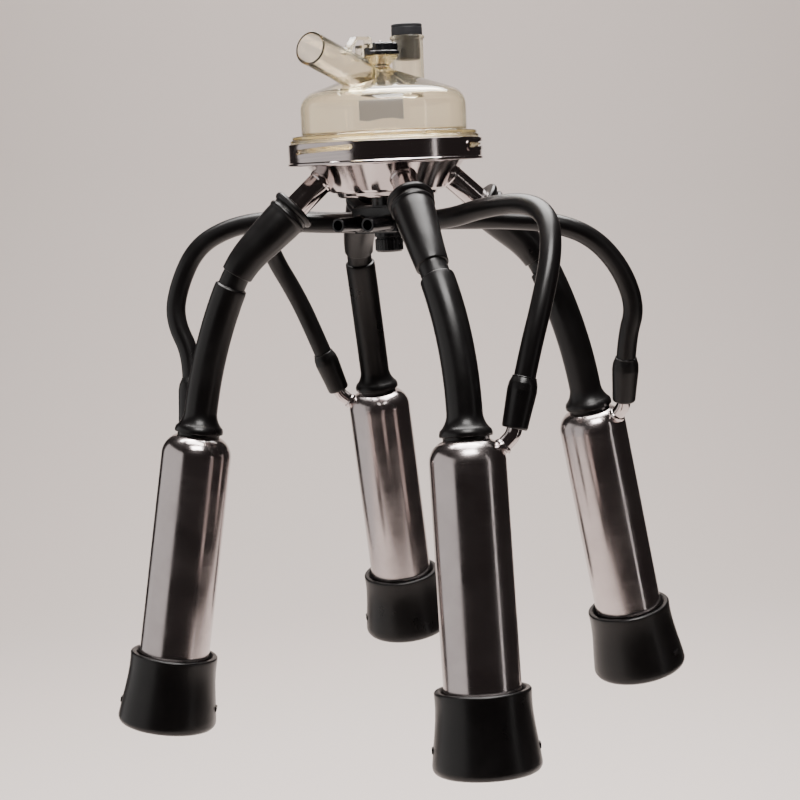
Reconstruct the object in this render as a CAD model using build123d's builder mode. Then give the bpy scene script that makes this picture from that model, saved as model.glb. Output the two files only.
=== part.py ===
import os
from math import atan2, cos, degrees, hypot, pi, radians, sin, sqrt

from build123d import *

os.makedirs("parts", exist_ok=True)

# Milking cluster, hung up by its claw. Millimetres, +Z up along the claw axis.
# The origin is the hang point: the claw axis at the neck under the shut-off knob.

# Claw: rims and walls
rim_z = -50.0
band_r = 61.3
band_depth = 13.6
band_roll = 0.7
steel_t = 1.2
cup_top_r = 50.0
cup_foot_r = 37.0
cup_foot_z = rim_z - 30.0
cup_well_r = 32.5
cup_bottom_r = 29.8
cup_bottom_z = rim_z - 34.6
slip_fit = 0.15
weld_fit = 0.05

# Bowl: one clear moulding with nozzle, neck, boss and hanging eye
bowl_wall_r = 52.5
bowl_t = 2.5
flange_top_z = rim_z + 4.8
flange_step_z = rim_z + 2.4
flange_step_r = 58.6
shoulder_r = 12.0
cone_rise = 1.0 / 3.0
cone_ref_r = 13.0
cone_ref_z = rim_z + 42.5
neck_r = 9.5
neck_head_r = 10.8
neck_top_z = 3.1
skirt_r = band_r - steel_t - 0.2
skirt_t = 2.4
skirt_bottom_z = rim_z - 9.0
gasket_t = 2.0
gasket_inset = 1.0
lug_count = 3
lug_first_az = -100.0
slot_span = 42.0
slot_height = 3.0
slot_z = rim_z - 4.2
slot_tilt = 2.2
lug_span = 15.0

nozzle_tip = (-80.0, 4.3)
nozzle_tilt = 14.5
nozzle_length = 58.0
nozzle_plain = 28.0
nozzle_r = 10.0
nozzle_t = 1.25

eye_width = 5.0
boss_y = 34.0
boss_r = 10.25
boss_bore_r = 8.45
boss_top_z = 17.0
boss_bead = 2.5
plug_head_r = 10.0
plug_head_h = 7.4
plug_shank_z = 2.0

# Shut-off valve
stem_r = 2.5
stem_fit = 0.1
stem_tip_r = 1.4
stem_top_z = 12.2
valve_travel = 6.0
seal_r = 14.0
seal_top_z = -16.3
seal_t = 3.6

# Pulse distributor under the cup
block_top_z = -90.0
block_bottom_z = -107.3
block_half_x = 18.0
block_half_y = 17.0
block_corner_r = 2.5
nipple_z = -100.7
short_y = 10.0
short_r = 4.0
short_len = 15.0
short_bore_r = 2.6
long_x = 10.7
long_end_y = -43.0
long_r = 4.5
long_bore_r = 3.2
stud_r = 3.0
nut_r = 9.0
nut_bottom_z = -119.7
nut_groove_z = block_bottom_z - 3.5

# Milk inlets of the cup
inlet_r = 7.8
inlet_t = 1.0
inlet_bead_r = 58.9
inlet_bead_z = rim_z - 38.25
inlet_dip = 42.0
inlet_inner = 25.5
inlet_outer = 24.0

# Liner: cuff, milk tube, foot, barrel and mouthpiece in one rubber piece
cuff_straight = 33.9
cuff_end = 54.5
band_end = 63.0
liner_length = 157.0
foot_straight = 12.0
tube_r = 10.4
tube_bore_r = 6.0
band_neck_r = 8.6
cuff_bore_depth = 31.0
barrel_r = 13.5
barrel_bore_r = 11.0
mouth_r = 11.6

# Teat-cup shell
shell_r = 22.0
shell_end_r = 22.25
shell_t = 1.0
shell_hole_r = 10.6
shell_top_u = 2.3
shell_shoulder = 11.0
cap_top_u = 143.8
cap_bottom_u = 190.4
shell_end_u = 163.8

# Pulse nipple, cuff and tube
pulse_r = 4.5
pulse_wall = 0.8
root_r = 20.4
root_u = 8.3
root_angle = 43.0
root_straight = 5.0
bend_r = 12.0
bend_angle = 75.0
nipple_end = 15.0
pulse_tube_r = 6.3
pulse_cuff_len = 30.0
pulse_cuff_seat = 8.0

# Each leg: way round the claw, bends of the milk tube in degrees (down and
# sideways, upper then lower), how far its cuff sits up the inlet, and the way
# its shell's nipple points.
legs = {
    "front_left": (225.0, (24.6, -10.0), (12.9, 12.6), -2.8, 140.0),
    "front_right": (315.0, (11.3, 6.6), (26.8, -7.5), 2.2, 29.0),
    "rear_right": (45.0, (26.5, -16.6), (10.6, 16.4), -4.5, -8.0),
    "rear_left": (135.0, (28.8, -9.6), (14.3, 3.1), 5.2, 215.0),
}

# Routes of the pulse tubes from the distributor to the cups, between the
# straight first run and the straight last run.
pulse_routes = {
    "front_left": [(-49, -10, -100.7), (-79.4, -19.5, -96.7), (-104.2, -31.2, -100.9),
                   (-122.3, -42.4, -112.5), (-131.8, -50.4, -135.2), (-134.5, -56, -158.5)],
    "front_right": [(45.4, -10, -100.7), (76, -10.5, -92.5), (105.3, -14.8, -90.5),
                    (125.1, -27.1, -98.6), (133.1, -42.1, -118.8), (133.2, -57.4, -146)],
    "rear_right": [(48.2, 10, -100.7), (77.3, 16.6, -101.4), (102.4, 30.7, -104.9),
                   (121.4, 45.4, -114.8), (134.3, 58.6, -135.4), (140.6, 66, -160.8)],
    "rear_left": [(-50, 10, -100.7), (-84, 12, -97.8), (-111, 20, -100.5),
                  (-120.2, 38, -121.5), (-110.8, 55, -154.7)],
}
last_run = 22.0


def vec(*v):
    return Vector(*v)


def turn(start, heading, toward, length, angle):
    """End and heading of an arc of the given length that turns toward a side."""
    if abs(angle) < 1e-6:
        return start + heading * length, heading
    b = radians(angle)
    r = length / b
    end = start + heading * (r * sin(b)) + toward * (r * (1 - cos(b)))
    return end, heading * cos(b) + toward * sin(b)


def sides(heading, out):
    """The downward and the sideways direction square to a heading."""
    across = vec(0, 0, 1).cross(out)
    across = (across - heading * across.dot(heading)).normalized()
    down = across.cross(heading)
    if down.Z > 0:
        down = down * -1
    return down, across


class Leg:
    """Stations of one leg, from the inlet's bead to the foot of the liner."""

    def __init__(self, name):
        az, upper, lower, slide, nipple_az = legs[name]
        self.out = vec(cos(radians(az)), sin(radians(az)), 0)
        dip = radians(inlet_dip)
        self.axis = self.out * cos(dip) + vec(0, 0, -sin(dip))
        self.seat = self.out * inlet_bead_r + vec(0, 0, inlet_bead_z)
        self.bead = self.seat - self.axis * slide
        down, across = sides(self.axis, self.out)
        self.arc1_start = self.bead + self.axis * cuff_straight
        size = hypot(*upper)
        toward = down * (upper[0] / size) + across * (upper[1] / size)
        span = band_end - cuff_straight
        self.arc1 = lambda s: turn(self.arc1_start, self.axis, toward, s - cuff_straight,
                                   size * (s - cuff_straight) / span)
        self.arc2_start, heading = self.arc1(band_end)
        down2, across2 = sides(heading, self.out)
        size2 = hypot(*lower)
        toward2 = down2 * (lower[0] / size2) + across2 * (lower[1] / size2)
        span2 = liner_length - foot_straight - band_end
        self.arc2 = lambda s: turn(self.arc2_start, heading, toward2, s - band_end,
                                   size2 * (s - band_end) / span2)
        self.arc2_end, self.down = self.arc2(liner_length - foot_straight)
        self.foot = self.arc2_end + self.down * foot_straight
        flat = vec(cos(radians(nipple_az)), sin(radians(nipple_az)), 0)
        self.nipple_side = (flat - self.down * flat.dot(self.down)).normalized()
        self.frame = Plane(origin=self.foot, x_dir=self.nipple_side, z_dir=self.down)
        self.side = Plane(origin=self.foot, x_dir=self.nipple_side,
                          z_dir=self.down.cross(self.nipple_side) * -1)
        self.cuff_frame = Plane(origin=self.bead, x_dir=across, z_dir=self.axis)
        self.seat_frame = Plane(origin=self.seat, x_dir=across, z_dir=self.axis)

    def at(self, r, u):
        """A point of the nipple's own plane: r off the shell axis, u down it."""
        return self.foot + self.nipple_side * r + self.down * u


def nipple_line(leg):
    """Stations of the bent nipple: inner end, bend start, bend middle, bend end, tip."""
    a0 = radians(root_angle)
    a1 = radians(bend_angle)
    am = (a0 + a1) / 2
    back = 4.0
    start = (root_r - back * cos(a0), root_u + back * sin(a0))
    bend0 = (root_r + root_straight * cos(a0), root_u - root_straight * sin(a0))

    def on_bend(a):
        return (bend0[0] + bend_r * (sin(a) - sin(a0)), bend0[1] - bend_r * (cos(a0) - cos(a)))

    bend1 = on_bend(a1)
    tip = (bend1[0] + nipple_end * cos(a1), bend1[1] - nipple_end * sin(a1))
    points = [leg.at(*p) for p in (start, bend0, on_bend(am), bend1, tip)]
    way = leg.nipple_side * cos(a1) - leg.down * sin(a1)
    return points, way


def profile(points, bulges=None):
    """Adds a closed face to the sketch: runs between points, arcs where a via point is given."""
    bulges = bulges or {}
    edges = []
    for i, p in enumerate(points):
        q = points[(i + 1) % len(points)]
        if i in bulges:
            edges.append(Edge.make_three_point_arc(p, bulges[i], q))
        else:
            edges.append(Edge.make_line(p, q))
    add(Face(Wire(edges)))


def cone_z(r):
    return cone_ref_z - (r - cone_ref_r) * cone_rise


def arc_mid(cx, cz, r, a0, a1):
    a = radians((a0 + a1) / 2)
    return (cx + r * cos(a), cz + r * sin(a))


cone_angle = degrees(atan2(1.0, cone_rise))
slant = sqrt(1 + cone_rise ** 2)
shoulder_x = bowl_wall_r - shoulder_r
shoulder_z = cone_z(shoulder_x) - shoulder_r * slant
tan_dx = cos(radians(cone_angle))
tan_dz = sin(radians(cone_angle))
inner_drop = bowl_t * slant
in_r = shoulder_r - bowl_t
floor_top_z = rim_z - band_depth + steel_t
gasket_top_z = floor_top_z + gasket_t
neck_under_z = cone_z(cone_ref_r) - inner_drop

# Bowl: flange, skirt, wall, dome and neck as one turned body
with BuildPart() as bowl:
    with BuildSketch(Plane.XZ) as bowl_section:
        outer = [
            (bowl_wall_r - bowl_t, gasket_top_z),
            (bowl_wall_r, gasket_top_z),
            (bowl_wall_r, rim_z + 1.6),
            (skirt_r - skirt_t, rim_z + 1.6),
            (skirt_r - skirt_t, skirt_bottom_z),
            (skirt_r, skirt_bottom_z),
            (skirt_r, flange_step_z - 0.5),
            (skirt_r - 0.5, flange_step_z),
            (flange_step_r, flange_step_z),
            (flange_step_r, flange_top_z - 0.8),
            (flange_step_r - 0.8, flange_top_z),
            (bowl_wall_r + 1.6, flange_top_z),
            (bowl_wall_r, flange_top_z + 1.6),
            (bowl_wall_r, shoulder_z),
            (shoulder_x + shoulder_r * tan_dx, shoulder_z + shoulder_r * tan_dz),
            (cone_ref_r + 0.6, cone_z(cone_ref_r + 0.6)),
            (neck_r, cone_ref_z + 4.0),
            (neck_r, -1.6),
            (neck_head_r, 0.8),
            (neck_head_r, neck_top_z - 0.5),
            (neck_head_r - 0.5, neck_top_z),
            (stem_r + stem_fit, neck_top_z),
            (stem_r + stem_fit, neck_under_z),
            (cone_ref_r, neck_under_z),
            (shoulder_x + in_r * tan_dx, shoulder_z + in_r * tan_dz),
            (shoulder_x + in_r, shoulder_z),
        ]
        bend = {
            13: arc_mid(shoulder_x, shoulder_z, shoulder_r, 0, cone_angle),
            15: (10.3, cone_ref_z + 1.2),
            24: arc_mid(shoulder_x, shoulder_z, in_r, cone_angle, 0),
        }
        profile(outer, bend)
    revolve(axis=Axis.Z)
    # Outlet nozzle, square to its own slanted axis
    tilt = radians(nozzle_tilt)
    nozzle_dir = vec(0, -cos(tilt), sin(tilt))
    nozzle_mouth = vec(0, *nozzle_tip)
    nozzle_root = nozzle_mouth - nozzle_dir * nozzle_length
    root_plane = Plane(origin=nozzle_root, x_dir=(1, 0, 0), z_dir=nozzle_dir)
    with BuildSketch(root_plane):
        Circle(nozzle_r + 0.75)
    with BuildSketch(root_plane.offset(nozzle_length - nozzle_plain)):
        Circle(nozzle_r)
    loft()
    with BuildSketch(root_plane.offset(nozzle_length - nozzle_plain)):
        Circle(nozzle_r)
    extrude(amount=nozzle_plain)
    # Boss for the plug
    with BuildSketch(Plane.XY.offset(cone_z(boss_y + boss_r) - 1.0)):
        with Locations((0, boss_y)):
            Circle(boss_r)
    extrude(amount=boss_top_z - cone_z(boss_y + boss_r) + 1.0)
    with BuildSketch(Plane.XY.offset(boss_top_z - boss_bead)):
        with Locations((0, boss_y)):
            Circle(boss_r + 1.0)
    extrude(amount=boss_bead)
    fillet(bowl.edges().filter_by(GeomType.CIRCLE).group_by(Axis.Z)[-1], radius=0.9)
    # Hanging eye: a strap that loops over the nozzle's root
    with BuildSketch(Plane.YZ.offset(-eye_width / 2)):
        with BuildLine():
            Polyline((-42.6, 3.6), (-32.0, 12.6), (-14.6, 13.9), (-13.2, 7.2),
                     (-23.6, 6.4), (-23.6, -2.0), (-42.6, -2.0), close=True)
        make_face()
        with BuildLine():
            Polyline((-37.6, 2.0), (-37.6, 5.2), (-30.9, 10.9), (-16.2, 12.0), (-15.6, 9.0),
                     (-26.2, 8.2), (-26.2, -1.0), close=True)
        make_face(mode=Mode.SUBTRACT)
    extrude(amount=eye_width)
    # The dome's inside, the nozzle's bore and the boss's bore
    with BuildSketch(Plane.XZ):
        profile([
            (0, neck_under_z), (cone_ref_r, neck_under_z),
            (shoulder_x + in_r * tan_dx, shoulder_z + in_r * tan_dz),
            (shoulder_x + in_r, shoulder_z), (shoulder_x + in_r, gasket_top_z),
            (0, gasket_top_z)],
            {2: arc_mid(shoulder_x, shoulder_z, in_r, cone_angle, 0)})
    revolve(axis=Axis.Z, mode=Mode.SUBTRACT)
    with BuildSketch(root_plane.offset(4.0)):
        Circle(nozzle_r - nozzle_t)
    extrude(amount=nozzle_length, mode=Mode.SUBTRACT)
    with BuildSketch(Plane.XY.offset(cone_z(boss_y))):
        with Locations((0, boss_y)):
            Circle(boss_bore_r)
    extrude(amount=boss_top_z - cone_z(boss_y), mode=Mode.SUBTRACT)
    with BuildSketch(Plane.XY.offset(cone_z(boss_y) - 8.0)):
        with Locations((0, boss_y)):
            Circle(5.0)
    extrude(amount=9.0, mode=Mode.SUBTRACT)
    # Bayonet lugs on the skirt
    for i in range(lug_count):
        az = lug_first_az + i * 360.0 / lug_count
        lug_plane = Plane.XZ.rotated((0, 0, az - lug_span / 2))
        with BuildSketch(lug_plane):
            with Locations(((skirt_r - 0.5 + band_r - 0.3) / 2, slot_z)):
                Rectangle(band_r - 0.3 - skirt_r + 0.5, slot_height - 0.8)
        revolve(axis=Axis.Z, revolution_arc=lug_span)
    # Key notch in the flange
    with BuildSketch(Plane.XY.offset(flange_step_z).rotated((0, 0, -35))):
        with Locations((flange_step_r, 0)):
            Rectangle(3.0, 3.2)
    extrude(amount=4.0, mode=Mode.SUBTRACT)
bowl.part.label = "claw_bowl"

# Cover: band, floor and cup pressed from one sheet, with four ports
wall_slope = (cup_top_r - cup_foot_r) / (cup_foot_z - (rim_z - band_depth))
wall_len = hypot(cup_top_r - cup_foot_r, cup_foot_z - (rim_z - band_depth))
nx = -(cup_foot_z - (rim_z - band_depth)) / wall_len
nz = (cup_top_r - cup_foot_r) / wall_len
with BuildPart() as cover:
    with BuildSketch(Plane.XZ):
        foot_z = rim_z - band_depth
        profile([
            (band_r - steel_t, rim_z),
            (band_r, rim_z),
            (band_r, foot_z + 2.0),
            (band_r + band_roll, foot_z + 1.5),
            (band_r + band_roll, foot_z + 0.5),
            (band_r + band_roll - 0.5, foot_z),
            (cup_top_r, foot_z),
            (cup_foot_r, cup_foot_z),
            (cup_foot_r - 1.6, cup_foot_z - 1.1),
            (cup_well_r, cup_foot_z - 1.2),
            (cup_well_r - 0.9, cup_bottom_z + 1.0),
            (cup_bottom_r, cup_bottom_z),
            (0, cup_bottom_z),
            (0, cup_bottom_z + steel_t),
            (cup_bottom_r - 0.5, cup_bottom_z + steel_t),
            (cup_well_r - 1.4, cup_foot_z - 1.2 + steel_t),
            (cup_foot_r - 2.0, cup_foot_z - 1.1 + steel_t),
            (cup_foot_r - nx * steel_t, cup_foot_z + nz * steel_t),
            (cup_top_r - nx * steel_t, foot_z + nz * steel_t + 0.35),
            (cup_top_r - 0.2, foot_z + steel_t),
            (band_r - steel_t, foot_z + steel_t),
        ])
    revolve(axis=Axis.Z)
    for i in range(lug_count):
        az = lug_first_az + i * 360.0 / lug_count
        # Pressed rim of the slot, on a ring tilted about the slot's own middle
        radial_dir = vec(cos(radians(az)), sin(radians(az)), 0)
        tangent = vec(0, 0, 1).cross(radial_dir)
        lean = radians(slot_tilt)
        tilted = Plane(origin=(0, 0, slot_z), x_dir=radial_dir,
                       z_dir=vec(0, 0, cos(lean)) - tangent * sin(lean))
        for grow, mode in ((1.3, Mode.ADD), (0.0, Mode.SUBTRACT)):
            half = slot_height / 2 + grow
            r0 = band_r - steel_t / 2 if mode == Mode.ADD else band_r - steel_t - 1.0
            r1 = band_r + 0.55 if mode == Mode.ADD else band_r + 1.0
            start = Plane(origin=tilted.origin, x_dir=tilted.x_dir.rotate(
                Axis((0, 0, 0), tilted.z_dir), -slot_span / 2),
                z_dir=tilted.z_dir.cross(tilted.x_dir.rotate(
                    Axis((0, 0, 0), tilted.z_dir), -slot_span / 2)) * -1)
            with BuildSketch(start):
                with Locations(((r0 + r1) / 2, 0)):
                    Rectangle(r1 - r0, 2 * half)
            revolve(axis=Axis(tilted.origin, tilted.z_dir), revolution_arc=slot_span, mode=mode)
            for end in (-slot_span / 2, slot_span / 2):
                radial = tilted.x_dir.rotate(Axis((0, 0, 0), tilted.z_dir), end)
                with BuildSketch(Plane(origin=tilted.origin + radial * r0, z_dir=radial)):
                    Circle(half)
                extrude(amount=r1 - r0, mode=mode)
    for name in legs:
        leg = Leg(name)
        with BuildSketch(leg.seat_frame.offset(-inlet_inner - 14)):
            Circle(inlet_r + weld_fit)
        extrude(amount=inlet_inner + 14 - 8, mode=Mode.SUBTRACT)
cover.part.label = "claw_cover"

# Gasket between bowl and cover
with BuildPart() as gasket:
    with BuildSketch(Plane.XY.offset(floor_top_z)):
        Circle(skirt_r - skirt_t - gasket_inset)
        Circle(bowl_wall_r - bowl_t - 0.4, mode=Mode.SUBTRACT)
    extrude(amount=gasket_t)
gasket.part.label = "bowl_gasket"

# Plug of the boss
with BuildPart() as plug:
    with BuildSketch(Plane.XY.offset(plug_shank_z)):
        with Locations((0, boss_y)):
            Circle(boss_bore_r - slip_fit)
    extrude(amount=boss_top_z - plug_shank_z)
    with BuildSketch(Plane.XY.offset(boss_top_z)):
        with Locations((0, boss_y)):
            Circle(plug_head_r)
    extrude(amount=plug_head_h)
    fillet(plug.edges().filter_by(GeomType.CIRCLE).group_by(Axis.Z)[-1], radius=1.6)
    fillet(plug.edges().filter_by(GeomType.CIRCLE).group_by(Axis.Z)[0], radius=1.0)
plug.part.label = "boss_plug"

# Shut-off valve: knob, stem and seal
knob_z = neck_top_z
knob_step_z = 5.8
knob_top_z = 10.8
with BuildPart() as knob:
    with BuildSketch(Plane.XY.offset(knob_z)):
        Circle(11.3)
    extrude(amount=knob_step_z - knob_z)
    fillet(knob.edges().filter_by(GeomType.CIRCLE), radius=0.7)
    with BuildSketch(Plane.XY.offset(knob_step_z)):
        Circle(8.6)
        with PolarLocations(7.6, 8):
            Circle(2.4)
    extrude(amount=knob_top_z - knob_step_z)
    chamfer(knob.faces().sort_by(Axis.Z)[-1].edges(), length=0.6)
    with BuildSketch(Plane.XY.offset(knob_z)):
        Circle(stem_r + weld_fit)
    extrude(amount=2.7, mode=Mode.SUBTRACT)
    with BuildSketch(Plane.XY.offset(knob_z)):
        Circle(stem_tip_r + weld_fit)
    extrude(amount=knob_top_z, mode=Mode.SUBTRACT)
knob.part.label = "valve_knob"

seal_bottom_z = seal_top_z - seal_t
with BuildPart() as stem:
    with BuildSketch(Plane.XZ):
        profile([
            (0, seal_bottom_z - 2.2), (4.2, seal_bottom_z - 2.2), (5.0, seal_bottom_z - 1.4),
            (5.0, seal_bottom_z), (stem_r, seal_bottom_z), (stem_r, knob_z + 2.65),
            (stem_tip_r, knob_z + 2.65), (stem_tip_r, stem_top_z - 0.4),
            (stem_tip_r - 0.4, stem_top_z), (0, stem_top_z)])
    revolve(axis=Axis.Z)
stem.part.label = "valve_stem"

with BuildPart() as seal:
    with BuildSketch(Plane.XZ):
        profile([
            (stem_r + weld_fit, seal_bottom_z), (9.0, seal_bottom_z), (seal_r, seal_bottom_z + 1.6),
            (seal_r, seal_top_z - 1.2), (7.0, seal_top_z), (stem_r + weld_fit, seal_top_z)])
    revolve(axis=Axis.Z)
seal.part.label = "valve_seal"

# Pulse distributor: neck, block, four short and two long nipples
with BuildPart() as block:
    with BuildSketch(Plane.XY.offset(block_bottom_z)):
        RectangleRounded(2 * block_half_x, 2 * block_half_y, block_corner_r)
    extrude(amount=block_top_z - block_bottom_z)
    chamfer(block.faces().sort_by(Axis.Z)[-1].edges(), length=1.2)
    chamfer(block.faces().sort_by(Axis.Z)[0].edges(), length=1.2)
    with BuildSketch(Plane.XY.offset(block_top_z)):
        Circle(10.0)
    extrude(amount=cup_bottom_z - block_top_z)
    for x_side in (-1, 1):
        side_plane = Plane(origin=(x_side * (block_half_x - 1), 0, nipple_z),
                           x_dir=(0, 1, 0), z_dir=(x_side, 0, 0))
        with BuildSketch(side_plane):
            with Locations((short_y, 0), (-short_y, 0)):
                Circle(short_r - 0.3)
        extrude(amount=short_len + 1)
        with BuildSketch(side_plane.offset(short_len - 2)):
            with Locations((short_y, 0), (-short_y, 0)):
                Circle(short_r)
        extrude(amount=2.0)
    front = Plane(origin=(0, -block_half_y + 1, nipple_z), x_dir=(1, 0, 0), z_dir=(0, -1, 0))
    reach = -block_half_y + 1 - long_end_y
    with BuildSketch(front):
        with Locations((long_x, 0), (-long_x, 0)):
            Circle(long_r)
    extrude(amount=reach)
    for x_side in (-1, 1):
        with BuildSketch(Plane(origin=(x_side * 6, 0, nipple_z), x_dir=(0, 1, 0),
                               z_dir=(x_side, 0, 0))):
            with Locations((short_y, 0), (-short_y, 0)):
                Circle(short_bore_r)
        extrude(amount=40, mode=Mode.SUBTRACT)
    with BuildSketch(Plane(origin=(0, 13, nipple_z), x_dir=(1, 0, 0), z_dir=(0, -1, 0))):
        with Locations((long_x, 0), (-long_x, 0)):
            Circle(long_bore_r)
    extrude(amount=80, mode=Mode.SUBTRACT)
    with BuildSketch(Plane.XY.offset(block_bottom_z)):
        Circle(stud_r + slip_fit)
    extrude(amount=cup_bottom_z - block_bottom_z, mode=Mode.SUBTRACT)
block.part.label = "pulse_distributor"

with BuildPart() as stud:
    with BuildSketch(Plane.XY.offset(nut_bottom_z + 2.0)):
        Circle(stud_r)
    extrude(amount=cup_bottom_z - nut_bottom_z - 2.0)
    chamfer(stud.edges().filter_by(GeomType.CIRCLE).group_by(Axis.Z)[0], length=0.6)
stud.part.label = "distributor_stud"

with BuildPart() as nut:
    with BuildSketch(Plane.XZ):
        profile([
            (0, nut_bottom_z), (nut_r - 1.2, nut_bottom_z), (nut_r, nut_bottom_z + 1.2),
            (nut_r, nut_groove_z - 0.8), (nut_r - 1.0, nut_groove_z - 0.4),
            (nut_r - 1.0, nut_groove_z + 0.4), (nut_r, nut_groove_z + 0.8),
            (nut_r, block_bottom_z), (0, block_bottom_z)])
    revolve(axis=Axis.Z)
    with BuildSketch(Plane.XY.offset(nut_bottom_z + 2.0)):
        Circle(stud_r + weld_fit)
    extrude(amount=20, mode=Mode.SUBTRACT)
nut.part.label = "distributor_nut"

for solid in (bowl, cover, gasket, plug, knob, stem, seal, block, stud, nut):
    export_step(solid.part, f"parts/{solid.part.label}.step")


def liner_foot_section():
    """Foot, barrel and mouthpiece, r off the shell axis and u down it."""
    top = shell_top_u
    end = shell_end_u + slip_fit
    collar_r = shell_end_r + slip_fit
    points = [
        (tube_bore_r, -foot_straight),
        (tube_r, -foot_straight),
        (14.8, -2.2),
        (15.0, -1.8),
        (15.0, -0.3),
        (14.7, 0),
        (13.0, 0.3),
        (13.0, top),
        (shell_hole_r - slip_fit, top),
        (shell_hole_r - slip_fit, top + shell_t + 0.1),
        (11.6, top + shell_t + 0.1),
        (barrel_r, top + shell_t + 0.5),
        (barrel_r, end - 9.0),
        (19.0, end),
        (collar_r, end),
        (collar_r, cap_top_u + 5.0),
        (collar_r + 1.4, cap_top_u + 0.9),
        (collar_r + 2.4, cap_top_u),
        (26.9, cap_top_u),
        (27.7, cap_top_u + 0.8),
        (30.0, cap_top_u + 32.0),
        (31.2, cap_bottom_u - 4.0),
        (27.8, cap_bottom_u),
        (15.0, cap_bottom_u - 1.6),
        (mouth_r + 0.6, cap_bottom_u - 2.0),
        (mouth_r, cap_bottom_u - 2.8),
        (mouth_r, cap_bottom_u - 4.6),
        (mouth_r + 1.0, cap_bottom_u - 5.4),
        (22.0, cap_bottom_u - 6.6),
        (24.6, cap_bottom_u - 9.4),
        (24.6, end + 7.6),
        (22.0, end + 5.2),
        (barrel_bore_r + 1.2, end + 1.6),
        (barrel_bore_r, end),
        (barrel_bore_r, 15.0),
        (tube_bore_r, 7.0),
    ]
    bulges = {
        1: (11.47, -6.45),
        19: (28.0, cap_top_u + 15.5),
        21: (30.6, cap_bottom_u - 1.3),
    }
    return points, bulges


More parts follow.
